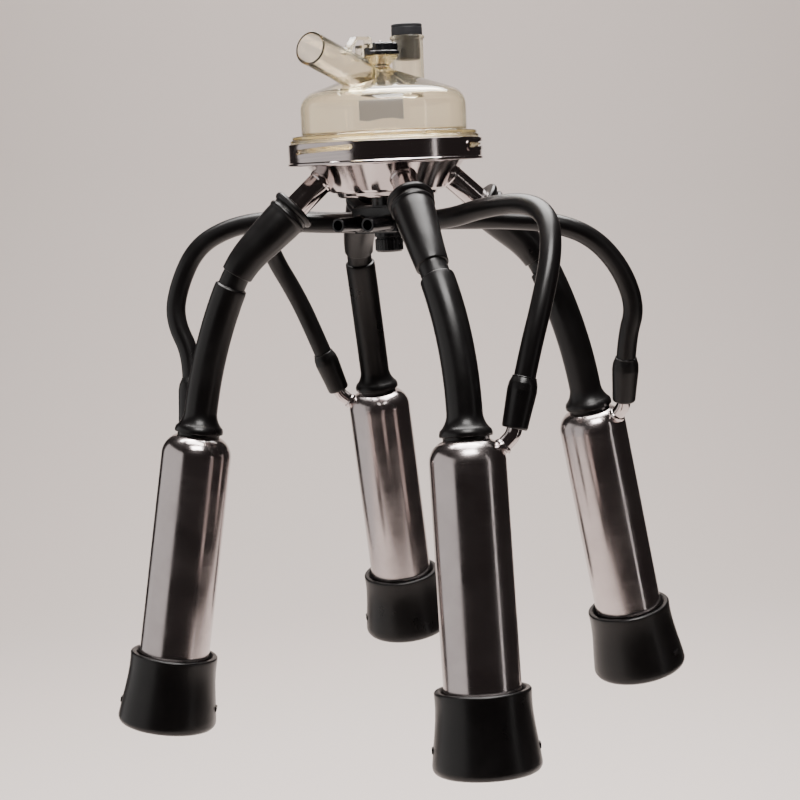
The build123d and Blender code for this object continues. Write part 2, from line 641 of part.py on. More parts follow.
for name in legs:
    leg = Leg(name)

    # Milk inlet of the cup
    with BuildPart() as inlet:
        with BuildSketch(leg.seat_frame.offset(-inlet_inner)):
            Circle(inlet_r)
            Circle(inlet_r - inlet_t, mode=Mode.SUBTRACT)
        extrude(amount=inlet_inner + inlet_outer)
    inlet.part.label = f"milk_inlet_{name}"

    # Liner
    with BuildPart() as liner:
        with BuildSketch(Plane(origin=leg.cuff_frame.origin, x_dir=leg.cuff_frame.x_dir,
                               z_dir=leg.axis.cross(leg.cuff_frame.x_dir) * -1)):
            profile([
                (inlet_r + slip_fit, -2.0), (13.7, -2.0), (14.5, -1.0), (14.5, 1.0), (13.7, 2.0),
                (12.4, 2.4), (12.4, 4.4), (13.3, 5.0), (13.6, 6.0), (13.3, 7.0), (12.8, 7.6),
                (12.7, 12.0), (11.2, cuff_straight), (tube_bore_r, cuff_straight),
                (tube_bore_r, cuff_bore_depth), (inlet_r + slip_fit, cuff_bore_depth - 1.5)])
        revolve(axis=Axis(leg.bead, leg.axis))
        for i, s in enumerate((cuff_straight, (cuff_straight + cuff_end) / 2, cuff_end)):
            spot, heading = leg.arc1(s)
            with BuildSketch(Plane(origin=spot, z_dir=heading)):
                Circle(11.2 - 0.65 * i)
        loft()
        mid1, way1 = leg.arc1(cuff_end)
        with BuildLine() as neck_line:
            ThreePointArc(mid1, leg.arc1((cuff_end + band_end) / 2)[0], leg.arc2_start)
        with BuildSketch(Plane(origin=mid1, z_dir=way1)):
            Circle(band_neck_r)
        sweep(path=neck_line.line)
        with BuildLine() as tube_line:
            ThreePointArc(leg.arc2_start, leg.arc2((band_end + liner_length - foot_straight) / 2)[0],
                          leg.arc2_end)
        with BuildSketch(Plane(origin=leg.arc2_start, z_dir=leg.arc1(band_end)[1])):
            Circle(tube_r)
        sweep(path=tube_line.line)
        with BuildLine() as bore_line:
            ThreePointArc(leg.arc1_start, leg.arc1((cuff_straight + band_end) / 2)[0], leg.arc2_start)
            ThreePointArc(leg.arc2_start, leg.arc2((band_end + liner_length - foot_straight) / 2)[0],
                          leg.arc2_end)
        with BuildSketch(Plane(origin=leg.arc1_start, z_dir=leg.axis)):
            Circle(tube_bore_r)
        sweep(path=bore_line.wire(), mode=Mode.SUBTRACT)
        with BuildSketch(leg.side):
            profile([(r, u) for r, u in liner_foot_section()[0]],
                    {k: (r, u) for k, (r, u) in liner_foot_section()[1].items()})
        revolve(axis=Axis(leg.foot, leg.down))
    liner.part.label = f"liner_{name}"

    # Shell
    with BuildPart() as shell:
        with BuildSketch(leg.side):
            shoulder_c = shell_r - shell_shoulder
            dip = shell_top_u + shell_shoulder
            inner = shell_shoulder - shell_t
            k = sqrt(0.5)
            pts = [
                (shell_hole_r, shell_top_u), (shoulder_c, shell_top_u), (shell_r, dip),
                (shell_end_r, shell_end_u), (shell_end_r - shell_t, shell_end_u),
                (shell_r - shell_t, dip), (shoulder_c, shell_top_u + shell_t),
                (shell_hole_r, shell_top_u + shell_t)]
            via = {
                1: (shoulder_c + shell_shoulder * k, dip - shell_shoulder * k),
                5: (shoulder_c + inner * k, dip - inner * k)}
            profile([(r, u) for r, u in pts], {i: (r, u) for i, (r, u) in via.items()})
        revolve(axis=Axis(leg.foot, leg.down))
        points, way = nipple_line(leg)
        into = (points[1] - points[0]).normalized()
        with BuildSketch(Plane(origin=points[0] - into * 4, z_dir=into)):
            Circle(pulse_r + weld_fit)
        extrude(amount=16, mode=Mode.SUBTRACT)
    shell.part.label = f"shell_{name}"

    # Bent pulse nipple
    with BuildPart() as nipple:
        with BuildLine() as bent:
            Line(points[0], points[1])
            ThreePointArc(points[1], points[2], points[3])
            Line(points[3], points[4])
        with BuildSketch(Plane(origin=points[0], z_dir=into)):
            Circle(pulse_r)
            Circle(pulse_r - pulse_wall, mode=Mode.SUBTRACT)
        sweep(path=bent.wire())
    nipple.part.label = f"pulse_nipple_{name}"

    # Pulse cuff on the nipple, with the tube's end in its upper mouth
    cuff_plane = Plane(origin=points[3] + way * 0.3, z_dir=way)
    with BuildPart() as cuff:
        with BuildSketch(Plane(origin=cuff_plane.origin, x_dir=cuff_plane.x_dir,
                               z_dir=way.cross(cuff_plane.x_dir) * -1)):
            n = pulse_cuff_len
            seat = n - pulse_cuff_seat
            b = pulse_r + slip_fit
            t = pulse_tube_r + slip_fit
            profile([
                (b, 0), (7.1, 0), (7.6, 0.5), (8.0, 8.0), (8.6, 20.0), (8.5, 24.0),
                (7.5, n), (t, n), (t, seat), (3.4, seat), (3.4, nipple_end + 1.5),
                (b, nipple_end + 0.5)])
        revolve(axis=Axis(cuff_plane.origin, way))
    cuff.part.label = f"pulse_cuff_{name}"

    # Pulse tube
    tube_end = cuff_plane.origin + way * (pulse_cuff_len - pulse_cuff_seat)
    az = legs[name][0]
    x_side = 1 if cos(radians(az)) > 0 else -1
    y_side = 1 if sin(radians(az)) > 0 else -1
    tube_start = vec(x_side * block_half_x, y_side * short_y, nipple_z)
    route = [tube_start] + [vec(*p) for p in pulse_routes[name]]
    route += [tube_end + way * last_run, tube_end]
    radii = []
    for a, b, c in zip(route, route[1:], route[2:]):
        half = radians((b - a).get_angle(c - b)) / 2
        radii.append(0.45 * min((b - a).length, (c - b).length) / max(0.001, sin(half) / cos(half)))
    print(name, "runs", [round((q - p).length, 1) for p, q in zip(route, route[1:])])
    print(name, "bend radii", [round(r, 1) for r in radii])
    with BuildPart() as tube:
        with BuildLine() as line:
            FilletPolyline(*route, radius=radii)
        with BuildSketch(Plane(origin=tube_start, z_dir=(x_side, 0, 0))):
            Circle(pulse_tube_r)
        sweep(path=line.wire())
        length = line.wire().length
        print(name, "tube length", round(length, 1), "volume ratio",
              round(tube.part.volume / (pi * pulse_tube_r ** 2 * length), 4))
        with BuildSketch(Plane(origin=tube_start, z_dir=(x_side, 0, 0))):
            Circle(short_r + slip_fit)
        extrude(amount=short_len + 0.5, mode=Mode.SUBTRACT)
    tube.part.label = f"pulse_tube_{name}"

    for solid in (inlet, liner, shell, nipple, cuff, tube):
        print(solid.part.label, len(solid.part.solids()), round(solid.part.volume / 1000, 2), "cm3")
        export_step(solid.part, f"parts/{solid.part.label}.step")
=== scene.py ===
import math

import bmesh
import bpy
from mathutils import Matrix, Vector


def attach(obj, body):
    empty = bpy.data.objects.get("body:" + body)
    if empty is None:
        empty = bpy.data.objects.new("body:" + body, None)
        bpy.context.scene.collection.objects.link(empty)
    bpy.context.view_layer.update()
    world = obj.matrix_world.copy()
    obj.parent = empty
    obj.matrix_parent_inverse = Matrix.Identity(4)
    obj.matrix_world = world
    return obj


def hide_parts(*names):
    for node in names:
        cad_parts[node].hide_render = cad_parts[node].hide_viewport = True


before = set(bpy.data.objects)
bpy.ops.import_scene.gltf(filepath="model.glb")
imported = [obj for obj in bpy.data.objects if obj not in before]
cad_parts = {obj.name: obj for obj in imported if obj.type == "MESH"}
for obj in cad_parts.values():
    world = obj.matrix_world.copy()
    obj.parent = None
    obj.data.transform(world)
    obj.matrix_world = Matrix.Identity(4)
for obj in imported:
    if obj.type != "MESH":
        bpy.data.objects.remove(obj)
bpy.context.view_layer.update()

MM = 0.001
ORIGIN = Vector((0, 0, 0))
ALONG_X = Vector((1, 0, 0))
ALONG_Z = Vector((0, 0, 1))

# Camera: the photograph's viewing angle, metres
CAMERA_AT = Vector((0.49476, -0.82917, -0.06788))
CAMERA_RIGHT = Vector((0.86259, 0.50392, -0.04470))
CAMERA_BACK = Vector((0.50443, -0.84998, 0.15195))
CAMERA_LENS = 67.5
CAMERA_SENSOR = 36.0
CAMERA_REACH = 50.0

# Claw, millimetres, as in the CAD
RIM_Z = -50.0
BAND_R = 61.3
BAND_DEPTH = 13.6
BAND_ROLL = 0.7
STEEL_T = 1.2
CUP_TOP_R, CUP_TOP_Z = 50.0, RIM_Z - BAND_DEPTH
CUP_FOOT_R, CUP_FOOT_Z = 37.0, RIM_Z - 30.0
CUP_WELL_R, CUP_WELL_Z = 32.5, RIM_Z - 31.2
CUP_BOTTOM_R, CUP_BOTTOM_Z = 29.8, RIM_Z - 34.6
FLOOR_TOP_Z = RIM_Z - BAND_DEPTH + STEEL_T
GASKET_T = 2.0
GASKET_TOP_Z = FLOOR_TOP_Z + GASKET_T
LUG_COUNT, LUG_AZ, LUG_SPAN = 3, -100.0, 38.0
SLOT_Z = RIM_Z - 4.2
SLOT_TILT, SLOT_SPAN, SLOT_HALF = 2.2, 42.0, 1.5
SLOT_RIM_HALF = 3.7

# Bowl
WALL_R = 52.5
BOWL_T = 2.5
WEB_Z = RIM_Z + 1.6
FLANGE_R, FLANGE_STEP_Z, FLANGE_TOP_Z = 58.6, RIM_Z + 2.4, RIM_Z + 4.8
SKIRT_R = BAND_R - STEEL_T - 0.2
SKIRT_T, SKIRT_FOOT_Z = 2.4, RIM_Z - 9.0
DOME_BEND = 12.0
CONE_R, CONE_Z, CONE_RUN = 13.0, RIM_Z + 42.5, 3.0
NECK_FOOT_R, WAIST_R, NECK_HEAD_R, NECK_BORE_R = 7.6, 5.4, 10.6, 2.6
WAIST_LOW_Z, WAIST_TOP_Z, NECK_HEAD_Z, NECK_TOP_Z = -4.2, -3.0, 1.8, 3.1
NOZZLE_MOUTH, NOZZLE_TILT, NOZZLE_LENGTH = Vector((0, -80.0, 4.3)), 14.5, 58.0
NOZZLE_R, NOZZLE_FOOT_R, NOZZLE_BORE_R = 10.0, 10.75, 8.75
BOSS_Y, BOSS_R, BOSS_BORE_R, BOSS_BEAD_R = 34.0, 10.25, 8.45, 11.25
BOSS_TOP_Z, BOSS_HOLE_R = 17.0, 5.0
EYE_HALF = 2.5

# Shut-off valve
KNOB_R, KNOB_FLANGE_R, KNOB_FLUTES = 10.9, 11.8, 8
KNOB_LOW_Z, KNOB_TOP_Z, KNOB_GRIP_Z = 3.15, 10.8, 5.9
STEM_R, STEM_TIP_R, STEM_TOP_Z = 2.5, 1.4, 12.2
SEAL_R, SEAL_TOP_Z, SEAL_LOW_Z = 14.0, -16.3, -19.9

# Pulse distributor
BLOCK_X, BLOCK_Y, BLOCK_TOP_Z, BLOCK_LOW_Z = 18.0, 17.0, -90.0, -107.3
NIPPLE_Z = -100.7
SHORT_Y, SHORT_R, SHORT_BORE_R = 10.0, 4.0, 2.6
LONG_X, LONG_R, LONG_BORE_R, LONG_LENGTH = 10.7, 4.5, 3.2, 27.0
STUD_R, NUT_R, NUT_LOW_Z, NUT_KNURLS = 3.0, 9.0, -119.7, 30

# Legs
INLET_SEAT_R, INLET_SEAT_Z, INLET_DIP = 58.9, RIM_Z - 38.25, 42.0
INLET_R, INLET_BORE_R, INLET_IN, INLET_OUT = 7.8, 6.8, -25.5, 24.0
CUFF_STRAIGHT, CUFF_END, BAND_END = 33.9, 54.5, 63.0
LINER_LENGTH, FOOT_STRAIGHT = 157.0, 12.0
MILK_TUBE_R, MILK_BORE_R, BARREL_R = 10.4, 6.0, 13.5
CAP_TOP, CAP_BOTTOM, CAP_R, TEAT_HOLE_R = 143.8, 190.4, 31.2, 11.6
NUB_SIZE, NUB_R, NUB_FROM_CAP = (2.2, 7.0, 3.6), 29.7, 33.2
NUB_TURN = {"front_left": 109.0}
SHELL_R, SHELL_END_R, SHELL_T, SHELL_HOLE_R = 22.0, 22.25, 1.0, 10.6
SHELL_TOP, SHELL_END, SHELL_SHOULDER = 2.3, 163.8, 14.0
ROOT_R, ROOT_U, ROOT_ANGLE, ROOT_STRAIGHT, ROOT_SUNK = 20.4, 8.3, 43.0, 5.0, 3.0
BEND_R, BEND_ANGLE, NIPPLE_END, NIPPLE_R, NIPPLE_BORE_R = 12.0, 75.0, 15.0, 4.5, 3.7
PULSE_CUFF_LENGTH, PULSE_CUFF_SEAT, PULSE_CUFF_GAP = 30.0, 8.0, 0.3
TUBE_R, TUBE_LAST_RUN = 6.3, 22.0

# Each leg: way round the claw, bends of the milk tube in degrees (down and
# sideways, upper then lower), how far its cuff sits up the inlet, and the way
# its shell's nipple points.
LEGS = {
    "front_left": (225.0, (24.6, -10.0), (12.9, 12.6), -2.8, 140.0),
    "front_right": (315.0, (11.3, 6.6), (26.8, -7.5), 2.2, 29.0),
    "rear_right": (45.0, (26.5, -16.6), (10.6, 16.4), -4.5, -8.0),
    "rear_left": (135.0, (28.8, -9.6), (14.3, 3.1), 5.2, 215.0),
}

# Routes of the pulse tubes between their straight first and last runs
ROUTES = {
    "front_left": [(-49, -10, -100.7), (-79.4, -19.5, -96.7), (-104.2, -31.2, -100.9),
                   (-122.3, -42.4, -112.5), (-131.8, -50.4, -135.2), (-134.5, -56, -158.5)],
    "front_right": [(45.4, -10, -100.7), (76, -10.5, -92.5), (105.3, -14.8, -90.5),
                    (125.1, -27.1, -98.6), (133.1, -42.1, -118.8), (133.2, -57.4, -146)],
    "rear_right": [(48.2, 10, -100.7), (77.3, 16.6, -101.4), (102.4, 30.7, -104.9),
                   (121.4, 45.4, -114.8), (134.3, 58.6, -135.4), (140.6, 66, -160.8)],
    "rear_left": [(-50, 10, -100.7), (-84, 12, -97.8), (-111, 20, -100.5),
                  (-120.2, 38, -121.5), (-110.8, 55, -154.7)],
}


def linked(name, data):
    """A new object in the scene."""
    obj = bpy.data.objects.new(name, data)
    bpy.context.scene.collection.objects.link(obj)
    return obj


def place_camera():
    data = bpy.data.cameras.new("camera")
    data.lens = CAMERA_LENS
    data.sensor_width = CAMERA_SENSOR
    data.clip_end = CAMERA_REACH
    camera = linked("camera", data)
    back = CAMERA_BACK.normalized()
    up = back.cross(CAMERA_RIGHT.normalized()).normalized()
    right = up.cross(back)
    view = Matrix((right, up, back)).transposed().to_4x4()
    view.translation = CAMERA_AT
    camera.matrix_world = view
    bpy.context.scene.camera = camera
    return right, back


camera_right, camera_back = place_camera()


# Stations of the legs
def turn(start, heading, toward, length, angle):
    """End and heading of an arc of this length that bends toward a side by angle degrees."""
    bend = math.radians(angle)
    radius = length / bend if abs(bend) > 1e-9 else 0.0
    if not radius:
        return start + heading * length, heading.copy()
    end = start + heading * (radius * math.sin(bend)) + toward * (radius * (1 - math.cos(bend)))
    return end, heading * math.cos(bend) + toward * math.sin(bend)


def sides(heading, out):
    """The ways down and sideways, square to a heading."""
    across = ALONG_Z.cross(out)
    across = (across - heading * across.dot(heading)).normalized()
    down = across.cross(heading)
    if down.z > 0:
        down = -down
    return down, across


class Leg:
    """Stations of one leg in millimetres, the same as in the CAD."""

    def __init__(self, name):
        az, upper, lower, slide, nipple_az = LEGS[name]
        self.name = name
        az = math.radians(az)
        dip = math.radians(INLET_DIP)
        self.out = Vector((math.cos(az), math.sin(az), 0))
        self.axis = self.out * math.cos(dip) - Vector((0, 0, math.sin(dip)))
        self.seat = self.out * INLET_SEAT_R + Vector((0, 0, INLET_SEAT_Z))
        self.bead = self.seat - self.axis * slide
        down, self.across = sides(self.axis, self.out)
        self.upper = self.arc(self.bead + self.axis * CUFF_STRAIGHT, self.axis, upper,
                              CUFF_STRAIGHT, BAND_END)
        knee, heading = self.upper(BAND_END)
        self.lower = self.arc(knee, heading, lower, BAND_END, LINER_LENGTH - FOOT_STRAIGHT)
        end, self.down = self.lower(LINER_LENGTH - FOOT_STRAIGHT)
        self.foot = end + self.down * FOOT_STRAIGHT
        nipple_az = math.radians(nipple_az)
        flat = Vector((math.cos(nipple_az), math.sin(nipple_az), 0))
        self.nipple_side = (flat - self.down * flat.dot(self.down)).normalized()

    def arc(self, start, heading, bends, s0, s1):
        """Point and heading at s along an arc from s0 to s1 with bends (down, sideways)."""
        down, across = sides(heading, self.out)
        size = math.hypot(*bends)
        toward = down * (bends[0] / size) + across * (bends[1] / size)
        return lambda s: turn(start, heading, toward, s - s0, size * (s - s0) / (s1 - s0))

    def line(self, s):
        """Point and heading of the liner's middle line at s from the bead."""
        if s <= CUFF_STRAIGHT:
            return self.bead + self.axis * s, self.axis
        if s <= BAND_END:
            return self.upper(s)
        if s <= LINER_LENGTH - FOOT_STRAIGHT:
            return self.lower(s)
        return self.foot + self.down * (s - LINER_LENGTH), self.down

    def spine(self, s):
        point, heading = self.line(s)
        normal = self.nipple_side - heading * self.nipple_side.dot(heading)
        normal.normalize()
        return point, normal, heading.cross(normal)

    def at(self, r, u):
        """Point beside the shell's axis on the nipple's side."""
        return self.foot + self.nipple_side * r + self.down * u

    def nipple(self):
        """Middle line of the bent nipple, its end and its last heading."""
        root, last = math.radians(ROOT_ANGLE), math.radians(BEND_ANGLE)
        bend_r = ROOT_R + ROOT_STRAIGHT * math.cos(root)
        bend_u = ROOT_U - ROOT_STRAIGHT * math.sin(root)
        points = [(ROOT_R - ROOT_SUNK * math.cos(root), ROOT_U + ROOT_SUNK * math.sin(root))]
        steps = 12
        for k in range(steps + 1):
            a = root + (last - root) * k / steps
            points.append((bend_r + BEND_R * (math.sin(a) - math.sin(root)),
                           bend_u - BEND_R * (math.cos(root) - math.cos(a))))
        end = points[-1]
        points.append((end[0] + NIPPLE_END * math.cos(last), end[1] - NIPPLE_END * math.sin(last)))
        way = self.nipple_side * math.cos(last) - self.down * math.sin(last)
        return [self.at(*p) for p in points], self.at(*end), way


# Spines: a function of s that gives a point and two sides
def straight(origin, axis, side=None):
    """Spine of a body turned about a straight axis."""
    axis = axis.normalized()
    if side is None:
        side = ALONG_X if abs(axis.x) < 0.9 else Vector((0, 1, 0))
    normal = (side - axis * side.dot(axis)).normalized()
    other = axis.cross(normal)
    return lambda s: (origin + axis * s, normal, other)


def through(points):
    """Spine along a run of points, with frames carried along without twist."""
    lengths = [0.0]
    for p, q in zip(points, points[1:]):
        lengths.append(lengths[-1] + (q - p).length)
    last = len(points) - 1
    heads = [(points[min(last, i + 1)] - points[max(0, i - 1)]).normalized()
             for i in range(len(points))]
    normals = []
    normal = heads[0].orthogonal().normalized()
    for head in heads:
        normal = (normal - head * normal.dot(head)).normalized()
        normals.append(normal)

    def spine(s):
        i = next((k for k in range(last) if s <= lengths[k + 1]), last - 1)
        t = (s - lengths[i]) / (lengths[i + 1] - lengths[i])
        inside = min(1, max(0, t))
        point = points[i].lerp(points[i + 1], t)
        head = heads[i].lerp(heads[i + 1], inside).normalized()
        side = normals[i].lerp(normals[i + 1], inside)
        side = (side - head * side.dot(head)).normalized()
        return point, side, head.cross(side)
    return spine, lengths[-1]


# Profiles: (r, s) points, with the corner's radius as a third value where it has its own
NEARLY_STRAIGHT = math.radians(172)
CORNER_SHARE = 0.48


def softened(points, radius, steps=4):
    """Closed profile with its corners rounded."""
    out = []
    for i, corner in enumerate(points):
        here = Vector(corner[:2])
        before = Vector(points[i - 1][:2]) - here
        after = Vector(points[(i + 1) % len(points)][:2]) - here
        r = corner[2] if len(corner) > 2 else radius
        sharp = r <= 0 or before.length < 1e-6 or after.length < 1e-6
        if sharp or before.angle(after) > NEARLY_STRAIGHT:
            out.append((corner[0], corner[1]))
            continue
        cut = min(r / math.tan(before.angle(after) / 2), CORNER_SHARE * before.length,
                  CORNER_SHARE * after.length)
        start = here + before.normalized() * cut
        end = here + after.normalized() * cut
        for k in range(steps + 1):
            t = k / steps
            q = start * (1 - t) ** 2 + here * (2 * t * (1 - t)) + end * t ** 2
            out.append((q.x, q.y))
    return out


def divided(points, step):
    """Closed profile with its long runs divided."""
    out = []
    for i, p in enumerate(points):
        q = points[(i + 1) % len(points)]
        out.append(p)
        extra = int(math.hypot(q[0] - p[0], q[1] - p[1]) // step)
        for k in range(1, extra + 1):
            t = k / (extra + 1)
            out.append((p[0] + (q[0] - p[0]) * t, p[1] + (q[1] - p[1]) * t))
    return out


def arc_points(x, y, r, start, end, steps=12):
    """Points along an arc, without a rounding radius."""
    angles = [math.radians(start + (end - start) * k / steps) for k in range(steps + 1)]
    return [(x + r * math.cos(a), y + r * math.sin(a), 0) for a in angles]


# Bodies
def finish_mesh(bm, name, sharp=32.0):
    """Cleans a mesh, shades it smooth with sharp edges kept, and makes its object."""
    bmesh.ops.remove_doubles(bm, verts=bm.verts, dist=1e-7)
    bmesh.ops.dissolve_degenerate(bm, edges=bm.edges, dist=1e-8)
    bmesh.ops.recalc_face_normals(bm, faces=bm.faces)
    for face in bm.faces:
        face.smooth = True
    for edge in bm.edges:
        if len(edge.link_faces) == 2 and edge.calc_face_angle(0) > math.radians(sharp):
            edge.smooth = False
    mesh = bpy.data.meshes.new(name)
    bm.to_mesh(mesh)
    bm.free()
    return linked(name, mesh)


def spun(name, spine, profile, segs=96, wave=None):
    """A body turned about a straight or curved spine, from a closed (r, s) profile in mm.

    wave(r, s, t) gives the radius at angle t. The place along and round the spine is kept in
    the attribute local, for the turned finishes.
    """
    bm = bmesh.new()
    local = bm.verts.layers.float_vector.new("local")
    rings = []
    for r, s in (point[:2] for point in profile):
        centre, normal, other = spine(s)
        ring = []
        for i in range(segs):
            t = 2 * math.pi * i / segs
            radius = wave(r, s, t) if wave else r
            x, y = radius * math.cos(t), radius * math.sin(t)
            vert = bm.verts.new((centre + normal * x + other * y) * MM)
            vert[local] = Vector((x, y, s)) * MM
            ring.append(vert)
        rings.append(ring)
    for a, b in zip(rings, rings[1:] + rings[:1]):
        for i in range(segs):
            j = (i + 1) % segs
            bm.faces.new((a[i], a[j], b[j], b[i]))
    return finish_mesh(bm, name)


def joined(name, parts):
    """One object out of several, with their attributes kept."""
    bm = bmesh.new()
    for part in parts:
        bm.from_mesh(part.data)
        bpy.data.objects.remove(part)
    mesh = bpy.data.meshes.new(name)
    bm.to_mesh(mesh)
    bm.free()
    return linked(name, mesh)


def carved(base, added, cut):
    """Adds and then cuts whole bodies, and forgets them."""
    for tool, how in [(tool, "UNION") for tool in added] + [(tool, "DIFFERENCE") for tool in cut]:
        boolean = base.modifiers.new("boolean", "BOOLEAN")
        boolean.operation = how
        boolean.solver = "EXACT"
        boolean.object = tool
        deps = bpy.context.evaluated_depsgraph_get()
        mesh = bpy.data.meshes.new_from_object(base.evaluated_get(deps))
        base.modifiers.clear()
        base.data = mesh
    for tool in added + cut:
        bpy.data.objects.remove(tool)
    bm = bmesh.new()
    bm.from_mesh(base.data)
    for face in bm.faces:
        face.smooth = True
    for edge in bm.edges:
        edge.smooth = not (len(edge.link_faces) == 2 and edge.calc_face_angle(0) > math.radians(30))
    bm.to_mesh(base.data)
    bm.free()
    return base


def slab(name, outline, x0, x1, bevel=0.0):
    """A plate with an outline in the YZ plane, mm, with rounded edges."""
    bm = bmesh.new()
    near = [bm.verts.new(Vector((x0, y, z)) * MM) for y, z in outline]
    far = [bm.verts.new(Vector((x1, y, z)) * MM) for y, z in outline]
    bm.faces.new(near)
    bm.faces.new(list(reversed(far)))
    for i in range(len(outline)):
        j = (i + 1) % len(outline)
        bm.faces.new((near[i], far[i], far[j], near[j]))
    bmesh.ops.recalc_face_normals(bm, faces=bm.faces)
    if bevel:
        bmesh.ops.bevel(bm, geom=bm.edges[:], offset=bevel * MM, segments=2, affect="EDGES")
    return finish_mesh(bm, name)


def brick(size, centre=ORIGIN):
    """A box as a bmesh, mm."""
    bm = bmesh.new()
    bmesh.ops.create_cube(bm, size=1.0)
    bmesh.ops.scale(bm, vec=Vector(size) * MM, verts=bm.verts)
    bmesh.ops.translate(bm, vec=centre * MM, verts=bm.verts)
    return bm


# Materials
class Recipe:
    """A material's nodes, with short calls for the kinds that the finishes use."""

    def __init__(self, name, color, rough, metal=0.0, **more):
        self.material = bpy.data.materials.new(name)
        self.material.use_nodes = True
        self.nodes = self.material.node_tree.nodes
        self.links = self.material.node_tree.links
        self.shader = self.nodes["Principled BSDF"]
        self.shader.inputs["Base Color"].default_value = (*color, 1)
        self.shader.inputs["Roughness"].default_value = rough
        self.shader.inputs["Metallic"].default_value = metal
        for key, value in more.items():
            self.shader.inputs[key.replace("_", " ")].default_value = value

    def feed(self, socket, value):
        self.links.new(value, self.shader.inputs[socket])

    def turned_place(self):
        node = self.nodes.new("ShaderNodeAttribute")
        node.attribute_name = "local"
        return node.outputs["Vector"]

    def place(self):
        return self.nodes.new("ShaderNodeTexCoord").outputs["Object"]

    def stretched(self, place, scale):
        node = self.nodes.new("ShaderNodeMapping")
        node.inputs["Scale"].default_value = scale
        self.links.new(place, node.inputs["Vector"])
        return node.outputs["Vector"]

    def noise(self, place, scale, detail, rough):
        node = self.nodes.new("ShaderNodeTexNoise")
        node.inputs["Scale"].default_value = scale
        node.inputs["Detail"].default_value = detail
        node.inputs["Roughness"].default_value = rough
        self.links.new(place, node.inputs["Vector"])
        return node.outputs["Fac"]

    def ramp(self, value, span, onto=(0.0, 1.0)):
        """Maps a grey value between the ends of span onto the two values of onto."""
        node = self.nodes.new("ShaderNodeMapRange")
        node.inputs["From Min"].default_value, node.inputs["From Max"].default_value = span
        node.inputs["To Min"].default_value, node.inputs["To Max"].default_value = onto
        self.links.new(value, node.inputs["Value"])
        return node.outputs["Result"]

    def mixed(self, share, color, other):
        node = self.nodes.new("ShaderNodeMix")
        node.data_type = "RGBA"
        node.inputs["A"].default_value = (*color, 1)
        node.inputs["B"].default_value = (*other, 1)
        self.links.new(share, node.inputs["Factor"])
        return node.outputs["Result"]

    def math(self, how, *values):
        node = self.nodes.new("ShaderNodeMath")
        node.operation = how
        for socket, value in zip(node.inputs, values):
            if isinstance(value, (int, float)):
                socket.default_value = value
            else:
                self.links.new(value, socket)
        return node.outputs[0]

    def bump(self, height, strength, distance, under=None):
        node = self.nodes.new("ShaderNodeBump")
        node.inputs["Strength"].default_value = strength
        node.inputs["Distance"].default_value = distance
        self.links.new(height, node.inputs["Height"])
        if under:
            self.links.new(under, node.inputs["Normal"])
        self.feed("Normal", node.outputs["Normal"])
        return node.outputs["Normal"]


def steel(name, color, rough, brush):
    """Polished stainless: fine turned lines, soft haze patches and faint scratches."""
    recipe = Recipe(name, color, rough, metal=1.0)
    place = recipe.turned_place()
    haze = recipe.noise(place, scale=38.0, detail=5.0, rough=0.6)
    lines = recipe.noise(recipe.stretched(place, (26, 26, 5200)), scale=1.0, detail=3.0, rough=0.7)
    nicks = recipe.noise(recipe.stretched(place, (900, 900, 260)), scale=1.0, detail=2.0, rough=0.5)
    grooves = recipe.ramp(lines, (0.3, 0.7), (-brush, brush))
    patches = recipe.ramp(haze, (0.35, 0.7), (rough * 0.8, rough * 1.5))
    recipe.feed("Roughness", recipe.math("ADD", grooves, patches))
    dull = tuple(c * 0.86 for c in color)
    recipe.feed("Base Color", recipe.mixed(recipe.ramp(haze, (0.3, 0.75)), color, dull))
    turned = recipe.bump(lines, strength=0.06, distance=0.00015)
    recipe.bump(nicks, strength=0.03, distance=0.0002, under=turned)
    return recipe.material


def rubber(name, color, rough):
    """Moulded rubber: soft sheen, dusty bloom patches and a very fine grain."""
    recipe = Recipe(name, color, rough, Specular_IOR_Level=0.34)
    place = recipe.place()
    bloom = recipe.noise(place, scale=24.0, detail=6.0, rough=0.62)
    grain = recipe.noise(place, scale=2600.0, detail=2.0, rough=0.5)
    wear = recipe.noise(place, scale=160.0, detail=4.0, rough=0.7)
    dusty = tuple(c * 1.6 + 0.0015 for c in color)
    recipe.feed("Base Color", recipe.mixed(recipe.ramp(bloom, (0.45, 0.8), (0, 0.8)), color, dusty))
    recipe.feed("Roughness", recipe.ramp(bloom, (0.3, 0.75), (rough * 0.82, rough * 1.3)))
    fine = recipe.bump(grain, strength=0.05, distance=0.0001)
    recipe.bump(wear, strength=0.05, distance=0.0004, under=fine)
    return recipe.material


def plastic(name, color, rough):
    """Black moulded plastic: fine spark-eroded grain, unevenly worn."""
    recipe = Recipe(name, color, rough)
    place = recipe.place()
    grain = recipe.noise(place, scale=1500.0, detail=3.0, rough=0.6)
    wear = recipe.noise(place, scale=60.0, detail=5.0, rough=0.6)
    worn = tuple(c * 1.5 + 0.004 for c in color)
    recipe.feed("Roughness", recipe.ramp(wear, (0.35, 0.7), (rough * 0.75, rough * 1.25)))
    recipe.feed("Base Color", recipe.mixed(recipe.ramp(wear, (0.4, 0.75)), color, worn))
    recipe.bump(grain, strength=0.12, distance=0.0002)
    return recipe.material


# Frosted field on the front of the bowl's wall: place round the claw, half width, edges in metres
PATCH_AZ, PATCH_HALF, PATCH_FADE = -60.5, 14.4, 0.8
PATCH_LOW_Z, PATCH_TOP_Z, PATCH_EDGE = -0.0376, -0.0264, 0.0006
PATCH_R = 0.0516


